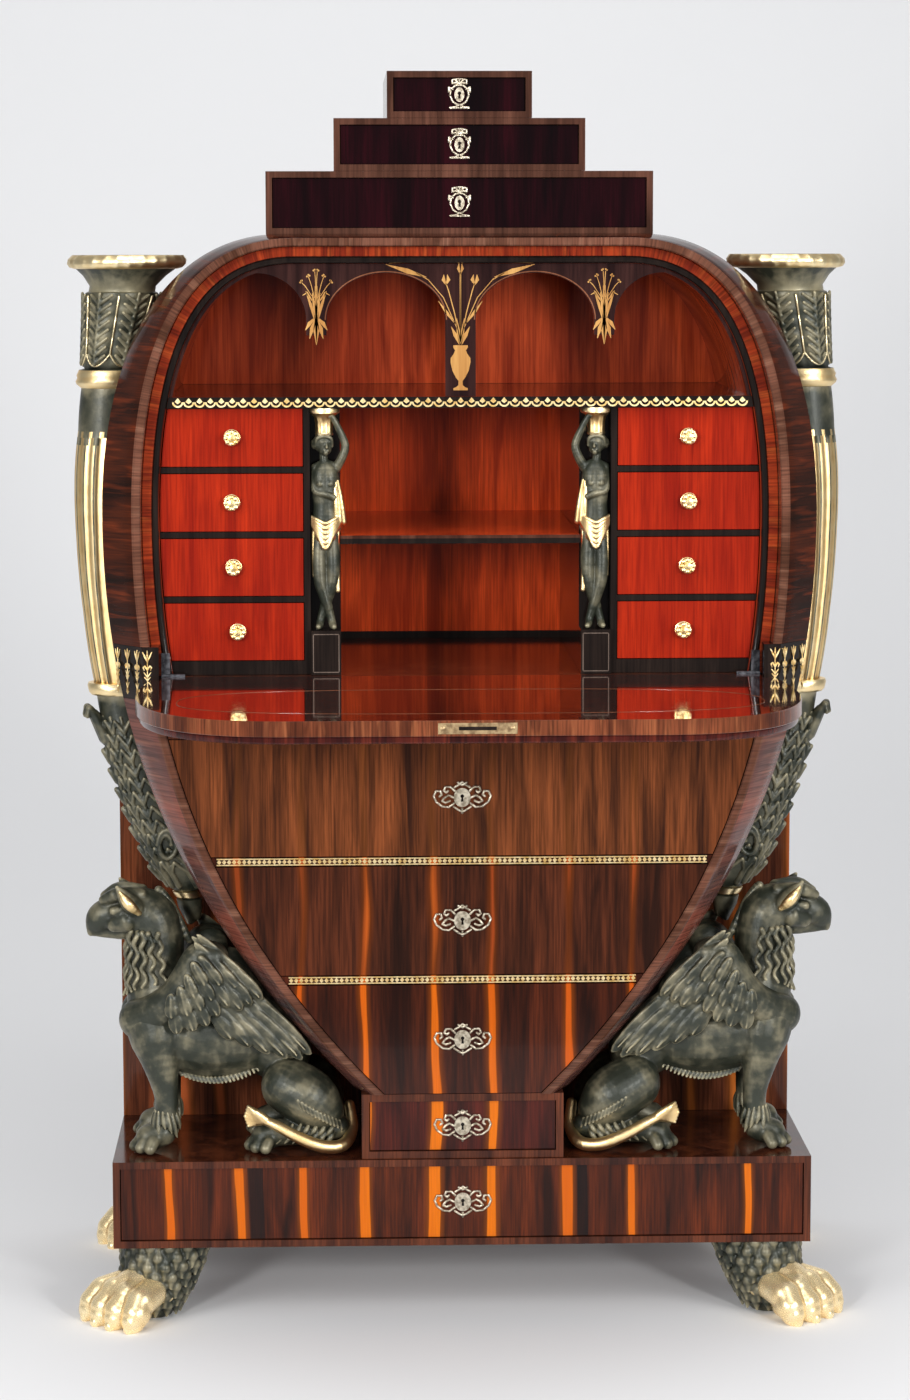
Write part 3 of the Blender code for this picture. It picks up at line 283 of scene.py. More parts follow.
def striped_veneer(name, dark, light, streak, sharpness, spread, behind=None, patches=1.1,
                   streaks=STREAKS, bands=()):
    """Veneer with streaks: sharpness is the softness of their edges, spread how far they are narrowed."""
    material, tree, shader = new_tree(name)
    coords = node(tree, "TexCoord").outputs["Object"]
    grain = use_group(tree, GRAIN, {"Vector": coords})
    place = node(tree, "SeparateXYZ", {"Vector": coords}).outputs["X"]
    for label, drift in (("Wander", 0.02), ("Figure", 0.006)):
        off = math_node(tree, "SUBTRACT", grain[label], 0.5)
        place = math_node(tree, "MULTIPLY_ADD", off, drift, place)
    across = math_node(tree, "MULTIPLY_ADD", place, 0.5 / STREAK_SPAN, 0.5)
    tent = ramp(tree, across, streak_stops(streaks))
    patchy = stretched_noise(tree, coords, (1, 1, 0.6), 9.0, 1.0)
    bar = math_node(tree, "MULTIPLY_ADD", patchy, patches, spread + 0.27 - patches / 2)
    full = math_node(tree, "ADD", bar, sharpness)
    bright = node(tree, "MapRange", {"Value": tent, "From Min": bar, "From Max": full}).outputs["Result"]
    body = mix(tree, ramp(tree, grain["Figure"], ((0.34, 0.0), (0.66, 1.0))), dark, light)
    body = mix(tree, ramp(tree, grain["Fibre"], ((0.35, 0.55), (0.62, 0.0))), body, SOOT)
    for low, high in bands:
        band = math_node(tree, "COMPARE", place, (low + high) / 2, (high - low) / 2)
        body = mix(tree, math_node(tree, "MULTIPLY", band, 0.85), body, HEARTWOOD)
    foot = math_node(tree, "MAXIMUM", math_node(tree, "SUBTRACT", bar, 0.5), 0.02)
    halo = node(tree, "MapRange", {"Value": tent, "From Min": foot, "From Max": bar, "To Max": 0.55})
    body = mix(tree, halo.outputs["Result"], body, shades(streak, 0.30, 0.30, 0.30))
    glow = mix(tree, grain["Fibre"], shades(streak, 0.55, 0.55, 0.55), streak)
    redder = ramp(tree, stretched_noise(tree, coords, (1, 1, 0.1), 14.0, 0.0), ((0.42, 0.0), (0.58, 0.65)))
    glow = mix(tree, redder, glow, shades(streak, 0.62, 0.45, 1.0))
    colour = mix(tree, bright, body, glow)
    if behind is not None:
        colour = behind_front(tree, colour, grain, coords, behind)
    feed(tree, shader, {"Base Color": colour})
    polish(tree, shader, grain, GLOSS)
    return material


def dress(material, *names):
    """Give CAD nodes a finish."""
    for name in names:
        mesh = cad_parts[name].data
        mesh.materials.clear()
        mesh.materials.append(material)


SIDES = ("left", "right")
FRONT_THICK = 0.024
ORANGE = (0.74, 0.165, 0.003)
PLINTH_VENEER = striped_veneer("plinth_veneer", (0.018, 0.0042, 0.0020), (0.120, 0.021, 0.0055),
                               ORANGE, 0.07, 0.22, FRONT_THICK, 0.35, bands=DARK_BANDS)
BLOCK_VENEER = striped_veneer("block_veneer", (0.022, 0.0036, 0.0026), (0.085, 0.012, 0.0065),
                              ORANGE, 0.07, 0.24, FRONT_THICK, 0.35)
URN_VENEER = striped_veneer("urn_veneer", (0.015, 0.0044, 0.0028), (0.080, 0.0165, 0.0065),
                            (0.68, 0.135, 0.006), 0.12, 0.40, FRONT_THICK, 0.8)
DARK_URN_VENEER = striped_veneer("dark_urn_veneer", (0.022, 0.0075, 0.0045), (0.108, 0.027, 0.011),
                                 (0.50, 0.10, 0.012), 0.30, 0.50, FRONT_THICK)
TOP_VENEER = striped_veneer("top_drawer_veneer", (0.044, 0.0138, 0.0066), (0.250, 0.068, 0.0205),
                            (0.46, 0.13, 0.03), 0.4, 0.62, FRONT_THICK)
CASE_VENEER = striped_veneer("case_veneer", (0.036, 0.010, 0.006), (0.130, 0.034, 0.014),
                             (0.36, 0.09, 0.02), 0.3, 0.85)
REAR_VENEER = striped_veneer("rear_veneer", (0.050, 0.015, 0.009), (0.20, 0.055, 0.022),
                             (0.52, 0.14, 0.025), 0.35, 0.20, None, 0.5, REAR_STREAKS)
dress(PLINTH_VENEER, "plinth_drawer")
dress(BLOCK_VENEER, "block_drawer")
dress(URN_VENEER, "lower_drawer_bottom", "rail_lower", "rail_upper")
dress(DARK_URN_VENEER, "lower_drawer_middle")
dress(TOP_VENEER, "lower_drawer_top")
dress(CASE_VENEER, "plinth_case", "block_case", "deck", "back_panel", "hood", "writing_bed",
      *[f"{part}_{side}" for part in ("cheek", "rear_side") for side in SIDES])
dress(REAR_VENEER, *[f"rear_board_{side}" for side in SIDES])


# Splayed rim round the urn, in three lengths: a flat fillet of brown wood in front, and a splay
# behind it veneered across the grain with many short mottled pieces, all highly polished.

BLOCK_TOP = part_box("block_case")[1].z
EGG_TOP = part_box("rim_upper")[1].z - 0.005
DECK_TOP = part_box("deck")[1].z
HINGE_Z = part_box("writing_bed")[1].z
HINGE_BLOCK_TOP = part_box("hinge_block_left")[1].z
FILLET = 0.0095
SPLAY_DEPTH = 0.045
RIM_DEPTH = 0.055
EGG_RISE = 0.6925
EGG_LEAN = math.radians(44.8)
# Reach of the curve's handles: at the block, below and above the waist, and at the crown
HANDLES = (0.310, 0.245, 0.204, 0.134)
CLEAR = 0.0003
EDGE_ROUND = 0.0014
CURVE_POINTS = 48


def egg(bottom_half, waist_half, top_half, top):
    """Right half of an egg, from the block to the middle of the flat top, as (x, z) points."""
    bottom = Vector((bottom_half, 0, BLOCK_TOP))
    waist = Vector((waist_half, 0, BLOCK_TOP + EGG_RISE))
    crown = Vector((top_half, 0, top))
    lean = Vector((math.sin(EGG_LEAN), 0, math.cos(EGG_LEAN)))
    low, under, over, high = HANDLES
    line = interpolate_bezier(bottom, bottom + low * lean, waist - Vector((0, 0, under)), waist,
                              CURVE_POINTS)
    line += interpolate_bezier(waist, waist + Vector((0, 0, over)), crown + Vector((high, 0, 0)), crown,
                               CURVE_POINTS)[1:]
    below = bottom - lean * 0.05
    return [below] + line + [Vector((0, 0, top))]


def inward(line, inset):
    """The line moved sideways, towards the middle of the egg."""
    moved = []
    for i, point in enumerate(line):
        along = (line[min(i + 1, len(line) - 1)] - line[max(i - 1, 0)]).normalized()
        moved.append(point + inset * Vector((-along.z, 0, along.x)))
    moved[-1].x = 0
    return moved


def at_height(line, z):
    """The point of a rising line at height z."""
    for first, last in zip(line, line[1:]):
        if first.z <= z <= last.z and last.z > first.z:
            return first.lerp(last, (z - first.z) / (last.z - first.z))
    return line[-1].copy()


def stretch_of(lines, low, high=None):
    """Matching stretches of several lines between two heights, or over the top of the egg."""
    cut = []
    first = next(i for i, p in enumerate(lines[0]) if p.z > low + 0.004)
    for line in lines:
        if high is None:
            right = [at_height(line, low)] + line[first:]
            cut.append(right + [Vector((-p.x, p.y, p.z)) for p in reversed(right[:-1])])
        else:
            cut.append([at_height(line,
                                  low + (high - low) * i / CURVE_POINTS) for i in range(CURVE_POINTS + 1)])
    return cut


FRONT_LINE = egg(0.1075, 0.3876, 0.196, EGG_TOP)
OUTER_LINE = egg(0.1295, 0.4256, 0.210, EGG_TOP + 0.005)


def grow(shape, row, edges, points):
    """Extrude a row of vertices and set the new row down on the given points."""
    grown = bmesh.ops.extrude_edge_only(shape, edges=edges)["geom"]
    fresh = set(new_verts(grown))
    new_row = [next(e.other_vert(v) for e in v.link_edges if e.other_vert(v) in fresh) for v in row]
    for vert, point in zip(new_row, points):
        vert.co = point
    new_edges = [g for g in grown if isinstance(g, bmesh.types.BMEdge) and set(g.verts) <= fresh]
    faces = [g for g in grown if isinstance(g, bmesh.types.BMFace)]
    return new_row, new_edges, faces


def loft(rings, shape=None, caps=True, finishes=None):
    """A skin grown from ring to ring, with UV in metres along and across, and a finish by strip."""
    shape = shape or bmesh.new()
    uv = shape.loops.layers.uv.verify()
    count = len(rings[0])
    row = [shape.verts.new(p) for p in rings[0]]
    edges = [shape.edges.new((row[i], row[(i + 1) % count])) for i in range(count)]
    if caps:
        shape.faces.new(row)
    across = [0.0]
    for i in range(1, count + 1):
        across.append(across[-1] + (Vector(rings[0][i % count]) - Vector(rings[0][i - 1])).length)
    middle = [sum((Vector(p) for p in ring), Vector()) / count for ring in rings]
    along = 0.0
    for number, ring in enumerate(rings[1:], 1):
        step = (middle[number] - middle[number - 1]).length
        place = {v: (i, along) for i, v in enumerate(row)}
        row, edges, faces = grow(shape, row, edges, ring)
        place.update({v: (i, along + step) for i, v in enumerate(row)})
        along += step
        for face in faces:
            marks = [place[loop.vert][0] for loop in face.loops]
            wraps = max(marks) - min(marks) > 1
            if finishes:
                face.material_index = finishes[max(marks) if wraps else min(marks)]
            for loop in face.loops:
                i, u = place[loop.vert]
                loop[uv].uv = (u, across[count if wraps and i == 0 else i])
    if caps:
        shape.faces.new(reversed(row))
    return shape


def add_piece(name, shape, materials, body, replaced=(), sharp=35):
    """Make a piece of a bmesh in the frame's coordinates, and let it ride on a CAD body."""
    bmesh.ops.recalc_face_normals(shape, faces=shape.faces)
    mesh = bpy.data.meshes.new(name)
    shape.to_mesh(mesh)
    shape.free()
    for material in materials if isinstance(materials, (list, tuple)) else [materials]:
        mesh.materials.append(material)
    mesh.shade_smooth()
    mesh.set_sharp_from_angle(angle=math.radians(sharp))
    piece = add_object(name, mesh)
    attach(piece, body)
    if replaced:
        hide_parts(*replaced)


def deep(point, depth):
    """A point of an outline, at a depth behind the front."""
    return Vector((point.x, FRONT + depth, point.z))


def rim_rings(low, high=None):
    lines = [inward(FRONT_LINE, inset) for inset in (FILLET, FILLET - EDGE_ROUND, EDGE_ROUND)]
    lines += [FRONT_LINE, OUTER_LINE]
    rings = []
    for inner, flat_in, flat_out, face, outer in zip(*stretch_of(lines, low, high)):
        ring = [deep(inner, RIM_DEPTH), deep(inner, EDGE_ROUND), deep(flat_in, 0), deep(flat_out, 0),
                deep(face, 0.0012)]
        for share in (0.03, 0.3, 0.6, 1.0):
            ring.append(deep(face.lerp(outer, share), max(0.0018, share * SPLAY_DEPTH)))
        ring.append(deep(outer, RIM_DEPTH))
        rings.append(ring)
    return rings


RIM_FINISHES = [0] * 5 + [1] * 5
SOOT_BROWN = (0.006, 0.004, 0.003)


def edge_veneer(name, dark, light, warm, patch, roughness, turn=0.0):
    """Veneer laid across a strip in short mottled pieces, by the strip's own UV."""
    material, tree, shader = new_tree(name)
    strip = node(tree, "UVMap").outputs["UV"]
    strip = node(tree, "Mapping", {"Vector": strip, "Rotation": (0, 0, turn)}).outputs["Vector"]
    turned = node(tree, "Mapping", {"Vector": strip, "Rotation": (math.pi / 2, 0, 0)}).outputs["Vector"]
    grain = use_group(tree, GRAIN, {"Vector": turned})
    patches = stretched_noise(tree, strip, (1, 0.22, 1), patch, 2.0, 1.2)
    body = mix(tree, ramp(tree, patches, ((0.36, 0.0), (0.50, 0.45), (0.64, 1.0))), dark, light)
    rays = stretched_noise(tree, strip, (1, 0.12, 1), 95, 2.0, 0.4)
    body = mix(tree, ramp(tree, rays, ((0.52, 0.0), (0.70, 0.75))), body, warm)
    body = mix(tree, ramp(tree, grain["Fibre"], ((0.36, 0.5), (0.60, 0.0))), body, SOOT_BROWN)
    feed(tree, shader, {"Base Color": body})
    polish(tree, shader, grain, roughness)
    return material


RIM_EDGE = edge_veneer("rim_edge", (0.070, 0.026, 0.014), (0.175, 0.068, 0.042), (0.23, 0.105, 0.066), 9,
                       0.12)
RIM_SPLAY = edge_veneer("rim_splay", (0.014, 0.0045, 0.0025), (0.062, 0.013, 0.005), (0.16, 0.028, 0.008),
                        14, 0.08)
TAPER_SPLAY = edge_veneer("taper_splay", (0.060, 0.042, 0.042), (0.24, 0.070, 0.046), (0.26, 0.10, 0.065),
                          7, 0.08)


# Angle in degrees for carved skins, which keep no sharp edges
SMOOTH = 180


def add_pair(name, shape, materials, replaced=None, sharp=SMOOTH):
    """A right-hand shape as two pieces of the carcase, one mirrored; each may replace a CAD node."""
    for side in SIDES:
        hand = shape.copy()
        if side == "left":
            bmesh.ops.scale(hand, verts=hand.verts, vec=(-1, 1, 1))
        nodes = [f"{replaced}_{side}"] if replaced else ()
        add_piece(f"{name}_{side}", hand, materials, "carcase", nodes, sharp)
    shape.free()


add_piece("rim_arch", loft(rim_rings(HINGE_BLOCK_TOP + CLEAR), finishes=RIM_FINISHES),
          [RIM_EDGE, RIM_SPLAY], "carcase", ["rim_upper"])
add_pair("rim_taper", loft(rim_rings(BLOCK_TOP + CLEAR, DECK_TOP), finishes=RIM_FINISHES),
         [RIM_EDGE, TAPER_SPLAY], "rim_lower", 35)


# Nest in the urn: an arched lining with a crossbanded red front edge and an ebony bead, and an arcade
# of dark veneer over the gallery shelf. Everything in it is polished like the case.

def plain_veneer(name, dark, light, fibre, behind=None, roughness=GLOSS, figure=(0.36, 0.64), coat=0.10):
    """Veneer with the grain upright and no streaks."""
    material, tree, shader = new_tree(name)
    coords = node(tree, "TexCoord").outputs["Object"]
    grain = use_group(tree, GRAIN, {"Vector": coords})
    body = mix(tree, ramp(tree, grain["Figure"], ((figure[0], 0.0), (figure[1], 1.0))), dark, light)
    cloud = stretched_noise(tree, coords, (1, 1, 0.5), 14, 2.0, 0.8)
    body = mix(tree, ramp(tree, cloud, ((0.40, 0.35), (0.60, 0.0))), body, dark)
    body = mix(tree, ramp(tree, grain["Fibre"], ((0.34, 0.45), (0.60, 0.0))), body, fibre)
    if behind is not None:
        body = behind_front(tree, body, grain, coords, behind)
    feed(tree, shader, {"Base Color": body})
    polish(tree, shader, grain, roughness, coat)
    return material


NEST_FRONT = 0.030
BACK_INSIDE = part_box("back_panel")[0].y - FRONT - CLEAR
EBONY = plain_veneer("ebony", (0.010, 0.007, 0.006), (0.022, 0.014, 0.011), (0.004, 0.003, 0.003))
CROSSBAND = edge_veneer("red_crossband", (0.23, 0.022, 0.008), (0.46, 0.055, 0.014), (0.60, 0.11, 0.025),
                        30, 0.10)
RED_LINING = plain_veneer("red_lining", (0.24, 0.025, 0.008), (0.60, 0.082, 0.022), (0.11, 0.010, 0.004))
# The niche's red is the lining's red painted about twice as light: painted light for the niche, which the
# lamps reach too little.
NICHE_RED_PAINTED_LIGHT = plain_veneer("niche_red_painted_light", (0.46, 0.040, 0.009), (0.98, 0.105, 0.019), (0.24, 0.016, 0.004))
ARCADE_VENEER = plain_veneer("arcade_veneer", (0.016, 0.006, 0.006), (0.050, 0.019, 0.016),
                             (0.006, 0.003, 0.003))
# Section of the lining: inset from the front outline, and depth
LINING_SECTION = ((0.0098, BACK_INSIDE), (0.0098, 0.0306), (0.0104, NEST_FRONT), (0.0211, NEST_FRONT),
                  (0.0216, 0.0284), (0.0232, 0.0268), (0.0262, 0.0266), (0.0286, 0.0280), (0.0298, 0.0310),
                  (0.0298, BACK_INSIDE))


def nest_lining():
    lines = stretch_of([inward(FRONT_LINE, inset) for inset, _ in LINING_SECTION], HINGE_Z + CLEAR)
    rings = [[deep(p, depth) for p, (_, depth) in zip(row, LINING_SECTION)] for row in zip(*lines)]
    return loft(rings, finishes=[2, 0, 0, 1, 1, 1, 1, 1, 2, 2])


add_piece("nest_lining", nest_lining(), [CROSSBAND, EBONY, RED_LINING], "carcase", ["nest_arch"])


def slab(outline, front, thick, shape=None):
    """A flat sheet of (x, z) outline, with its face at depth front, grown backwards."""
    shape = shape or bmesh.new()
    face = shape.faces.new([shape.verts.new((x, FRONT + front, z)) for x, z in outline])
    grown = bmesh.ops.extrude_face_region(shape, geom=[face])["geom"]
    bmesh.ops.translate(shape, verts=new_verts(grown), vec=(0, thick, 0))
    return shape


def rectangle(left, right, low, high):
    return [(left, low), (right, low), (right, high), (left, high)]


def arc(middle, low, reach, rise, first, last, count):
    """Points on an arch from angle to angle, counted from its right springing."""
    turns = [math.radians(first + (last - first) * i / count) for i in range(count + 1)]
    return [(middle + reach * math.cos(a), low + rise * math.sin(a)) for a in turns]


SHELF_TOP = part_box("gallery_shelf")[1].z + CLEAR
ARCADE_FRONT = NEST_FRONT + 0.006
ARCADE_THICK = 0.012
ARCADE_CROWN = EGG_TOP - 0.0298 - 0.011
ARCADE_SPRING = SHELF_TOP + 0.090
PILASTER_HALF = 0.018
INNER_SPAN = 0.140
PENDANT = 0.024
PENDANT_FOOT = SHELF_TOP + 0.072
PENDANT_X = PILASTER_HALF + INNER_SPAN + PENDANT / 2


def arcade_outline():
    """Right half of the arcade, from the middle pilaster's foot to the shelf by the lining and back."""
    inner_end = PILASTER_HALF + INNER_SPAN
    outer = inner_end + PENDANT
    edge = stretch_of([inward(FRONT_LINE, 0.0302), inward(FRONT_LINE, 0.0342)], SHELF_TOP)
    lining, hem = [[p for p in line if p.x >= 0] for line in edge]
    turn = at_height(hem, ARCADE_CROWN).x
    right = [(PILASTER_HALF, SHELF_TOP)]
    right += arc((PILASTER_HALF + inner_end) / 2, ARCADE_SPRING, INNER_SPAN / 2,
                 ARCADE_CROWN - ARCADE_SPRING, 180, 0, 28)
    right += [(inner_end, PENDANT_FOOT), (outer, PENDANT_FOOT)]
    right += arc(turn, ARCADE_SPRING, turn - outer, ARCADE_CROWN - ARCADE_SPRING, 180, 90, 18)
    right += [(p.x, p.z) for p in reversed(hem) if p.z < ARCADE_CROWN - 0.001]
    right += [(p.x, p.z) for p in lining if p.x > 0.001]
    return right


def both_halves(right):
    """A right half outline and its mirror image, as one outline."""
    return right + [(-x, z) for x, z in reversed(right)]


add_piece("arcade", slab(both_halves(arcade_outline()), ARCADE_FRONT, ARCADE_THICK), ARCADE_VENEER,
          "carcase", ["arcade_panel"], sharp=20)
SHELF_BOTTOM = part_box("gallery_shelf")[0].z
NICHE_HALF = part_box("pilaster_right")[0].x
niche_back = slab(rectangle(-NICHE_HALF, NICHE_HALF, HINGE_Z, SHELF_BOTTOM), BACK_INSIDE - 0.0015, 0.0012)
inner_arch = [(p.x, p.z) for p in stretch_of([inward(FRONT_LINE, 0.0299)], SHELF_TOP)[0]]
gallery_back = slab(inner_arch, BACK_INSIDE - 0.0015, 0.0012)
# The niche's back carries the lightened red as painted light.
add_piece("niche_back", niche_back, NICHE_RED_PAINTED_LIGHT, "carcase")
add_piece("gallery_back", gallery_back, RED_LINING, "carcase")
dress(EBONY, "gallery_shelf", "drawer_bank_left", "drawer_bank_right", "pilaster_left", "pilaster_right",
      "hinge_block_left", "hinge_block_right")
# The niche's shelf carries the lightened red as painted light too.
dress(NICHE_RED_PAINTED_LIGHT, "niche_shelf")
SHELF_EDGE = plain_veneer("shelf_edge", (0.040, 0.014, 0.009), (0.120, 0.045, 0.028), (0.016, 0.007, 0.005))


def niche_strip(low, high, depth):
    """A thin strip across the niche between two heights, with its face at a depth."""
    return slab(rectangle(-NICHE_HALF, NICHE_HALF, low, high), depth, 0.0005)


SHELF_LOW, SHELF_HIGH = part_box("niche_shelf")
EDGE_FOOT = SHELF_HIGH.z - 0.0038
EDGE_DEPTH = SHELF_LOW.y - FRONT - 0.0006
add_piece("shelf_edge", niche_strip(EDGE_FOOT, SHELF_HIGH.z, EDGE_DEPTH), SHELF_EDGE, "carcase")
# A strip of near-black ebony under the shelf's edge is painted shadow: the shade that falls beneath the
# shelf.
add_piece("shelf_painted_shadow", niche_strip(SHELF_LOW.z, EDGE_FOOT, EDGE_DEPTH), EBONY, "carcase")
add_piece("niche_skirting", niche_strip(HINGE_Z, HINGE_Z + 0.009, BACK_INSIDE - 0.0022), EBONY, "carcase")


# Small drawers of the nest, four on each side: red-orange veneer with upright grain on the fronts, and
# plain wood behind. Their knobs come with the gilt trim.

DRAWER_RED = plain_veneer("drawer_red", (0.23, 0.010, 0.004), (0.43, 0.026, 0.006), (0.11, 0.005, 0.003),
                          0.050, figure=(0.30, 0.70))
SMALL_DRAWERS = [f"small_drawer_{row}_{side}" for row in range(1, 5) for side in SIDES]
dress(DRAWER_RED, *SMALL_DRAWERS)


# Stepped boxes on top: three drawers in frames of brown wood. Their fronts are of purple-black veneer,
# polished like the case.

STEPS = ("lower", "middle", "upper")
STEP_FRAME = plain_veneer("step_frame", (0.040, 0.016, 0.010), (0.125, 0.050, 0.032), (0.016, 0.007, 0.005))
STEP_FRONT = plain_veneer("step_front", (0.003, 0.0008, 0.0014), (0.019, 0.0016, 0.0036),
                          (0.002, 0.001, 0.001), 0.071)
dress(STEP_FRAME, *[f"step_box_{step}" for step in STEPS])
dress(STEP_FRONT, *[f"step_drawer_{step}" for step in STEPS])


# Fall flap, shown open: a thick board with a mirror-polished writing face, an edge banded across the
# grain, a moulded lip under it, a thin oval inlay line, a brass lock plate and iron hinges.

FLAP_TILT = math.radians(1.3)
HINGE_DEPTH = 0.025
HINGE_BLOCK_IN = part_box("hinge_block_right")[0].x
BARREL_LENGTH = 0.028
FLAP_GAP = 0.002
SWING = 0.0475
# Section of the edge: inset from the outline, and drop below the writing face
FLAP_SECTION = ((0.0009, 0.0), (0.0, 0.0009), (0.0, 0.0161), (0.0009, 0.0170), (0.0040, 0.0173),
                (0.0033, 0.0185), (0.0033, 0.0225), (0.0042, 0.0245), (0.0058, 0.0250))


def flap_outline(inset):
    """Plan of the flap: x against distance from the hinge line."""
    notch = HINGE_BLOCK_IN - BARREL_LENGTH - 2 * FLAP_GAP - inset
    half = HINGE_BLOCK_IN - FLAP_GAP - inset
    line = inward(FRONT_LINE, FILLET + FLAP_GAP + inset)
    right = [(notch, 0.0003 + inset), (notch, 0.006 + inset), (half, 0.006 + inset), (half, SWING)]
    curve = [at_height(line, HINGE_Z + SWING)] + [p for p in line if p.z > HINGE_Z + SWING + 0.02]
    right += [(p.x, p.z - HINGE_Z) for p in curve]
    return both_halves(right[:-1])


def lay_open(shape):
    """Turn a shape from the flap's plan (x, -distance, -drop) to where the flap rests open."""
    bmesh.ops.rotate(shape, verts=shape.verts, matrix=Matrix.Rotation(-FLAP_TILT, 3, "X"))
    bmesh.ops.translate(shape, verts=shape.verts, vec=(0, FRONT + HINGE_DEPTH, HINGE_Z))
    return shape


FLAP_TOP = plain_veneer("flap_face", (0.046, 0.0066, 0.0034), (0.105, 0.0150, 0.006),
                        (0.025, 0.004, 0.0025), roughness=0.04, coat=1.0)
FLAP_EDGE = edge_veneer("flap_edge", (0.080, 0.021, 0.010), (0.225, 0.062, 0.026), (0.33, 0.105, 0.042), 24,
                        0.10, math.pi / 2)
FLAP_LIP = edge_veneer("flap_lip", (0.030, 0.006, 0.006), (0.085, 0.014, 0.010), (0.15, 0.025, 0.012), 30,
                       0.10, math.pi / 2)
flap_rings = [[Vector((x, -s, -drop)) for x, s in flap_outline(inset)] for inset, drop in FLAP_SECTION]
flap_shape = loft(flap_rings)
for face in flap_shape.faces:
    drop = max(-v.co.z for v in face.verts)
    face.material_index = 0 if drop < 0.0001 else 1 if drop < 0.0172 else 2
add_piece("flap_board", lay_open(flap_shape), [FLAP_TOP, FLAP_EDGE, FLAP_LIP], "flap",
          ["flap"], sharp=30)


def plain_metal(name, dark, light, roughness, scale):
    """Metal with a cloudy tarnish and a fine uneven skin."""
    material, tree, shader = new_tree(name)
    coords = node(tree, "TexCoord").outputs["Object"]
    cloud = node(tree, "TexNoise", {"Vector": coords, "Scale": scale, "Detail": 4.0}).outputs["Fac"]
    speck = node(tree, "TexNoise", {"Vector": coords, "Scale": scale * 9, "Detail": 2.0}).outputs["Fac"]
    lift = node(tree, "Bump", {"Height": speck, "Strength": 0.2, "Distance": 0.0006})
    feed(tree, shader, {"Base Color": mix(tree, ramp(tree, cloud, ((0.35, 0.0), (0.62, 1.0))), dark, light),
                        "Roughness": math_node(tree, "MULTIPLY_ADD", speck, 0.25, roughness),
                        "Normal": lift.outputs["Normal"], "Metallic": 1.0})
    return material


LOCK_BRASS = plain_metal("lock_brass", (0.20, 0.13, 0.07), (0.46, 0.33, 0.18), 0.30, 160)
IRON = plain_metal("hinge_iron", (0.03, 0.03, 0.035), (0.11, 0.11, 0.12), 0.35, 180)
dress(IRON, "hinge_left", "hinge_right")


# Griffins that sit on the plinth and bear the horns: carved limewood, painted as dark green bronze,
# rubbed bright on the high places with a painted highlight there too, dark in the hollows from patina and
# painted shade, with gilt tails and the hollows of the ears gilt.

def make_wear_and_painted_light():
    """Where a carved surface is worn on its ridges, with a painted highlight there too, dirty in its
    hollows, with painted shade there too, and cloudy between.
    """
    group, given, made = start_group(
        "rubbed_carving_and_painted_light", [("Vector", "Vector"), ("Scale", "Float")],
        [("RidgeWearAndHighlight", "Float"), ("HollowPatinaAndShade", "Float"), ("Cloud", "Float"), ("Skin", "Float")])
    edge = node(group, "NewGeometry").outputs["Pointiness"]
    cloud = node(group, "TexNoise",
                 {"Vector": given["Vector"], "Scale": given["Scale"], "Detail": 5.0}).outputs["Fac"]
    fine = math_node(group, "MULTIPLY", given["Scale"], 12.0)
    skin = node(group, "TexNoise", {"Vector": given["Vector"], "Scale": fine, "Detail": 3.0}).outputs["Fac"]
    uneven = math_node(group, "MULTIPLY_ADD", math_node(group, "SUBTRACT", cloud, 0.5), 0.10, edge)
    # The ridge mask brightens the high places as wear and painted highlight; the hollow mask darkens the
    # low ones as patina and painted shade.
    ridge = node(group, "MapRange",
                 {"Value": uneven, "From Min": 0.505, "From Max": 0.585}).outputs["Result"]
    hollow = node(group, "MapRange",
                  {"Value": uneven, "From Min": 0.495, "From Max": 0.42}).outputs["Result"]
    for label, value in (("RidgeWearAndHighlight", ridge), ("HollowPatinaAndShade", hollow), ("Cloud", cloud), ("Skin", skin)):
        group.links.new(value, made[label])
    return group


WEAR_AND_PAINTED_LIGHT = make_wear_and_painted_light()


def carved_finish(name, dark, middle, bright, scale, metallic, roughness):
    """Paint or gilding on carving, bright on its ridges from wear and a painted highlight, and dark in its
    hollows from patina and painted shade.
    """
    material, tree, shader = new_tree(name)
    coords = node(tree, "TexCoord").outputs["Object"]
    wear = use_group(tree, WEAR_AND_PAINTED_LIGHT, {"Vector": coords, "Scale": scale})
    tone = mix(tree, ramp(tree, wear["Cloud"], ((0.42, 0.0), (0.72, 0.22))), middle, bright)
    # The bright ridge colour is rubbed wear plus painted highlight; the dark hollow colour is patina plus
    # painted shade.
    tone = mix(tree, wear["RidgeWearAndHighlight"], tone, bright)
    tone = mix(tree, wear["HollowPatinaAndShade"], tone, dark)
    lift = node(tree, "Bump", {"Height": wear["Skin"], "Strength": 0.25, "Distance": 0.0008})
    feed(tree, shader, {"Base Color": tone, "Normal": lift.outputs["Normal"], "Metallic": metallic,
                        "Roughness": math_node(tree, "MULTIPLY_ADD", wear["Skin"], 0.22, roughness)})
    return material


PATINA = carved_finish("green_bronze", (0.005, 0.007, 0.004), (0.027, 0.031, 0.021), (0.40, 0.35, 0.22), 38,
                       0.25, 0.28)
CARVED_GILT = carved_finish("carved_gilding", (0.50, 0.26, 0.075), (0.98, 0.70, 0.33), (1.0, 0.84, 0.52),
                            60, 1.0, 0.24)
# The paw's dark hollow colour is deepened as painted shade in the grooves between the toes.
PAW_GILT = carved_finish("paw_gilding", (0.34, 0.16, 0.045), (1.0, 0.77, 0.42), (1.0, 0.90, 0.62), 60, 0.7,
                         0.14)


def join(shape, part, place):
    """Put a part in place, add it to a shape, and free it."""
    mesh = bpy.data.meshes.new("part")
    part.to_mesh(mesh)
    part.free()
    mesh.transform(place)
    shape.from_mesh(mesh)
    bpy.data.meshes.remove(mesh)


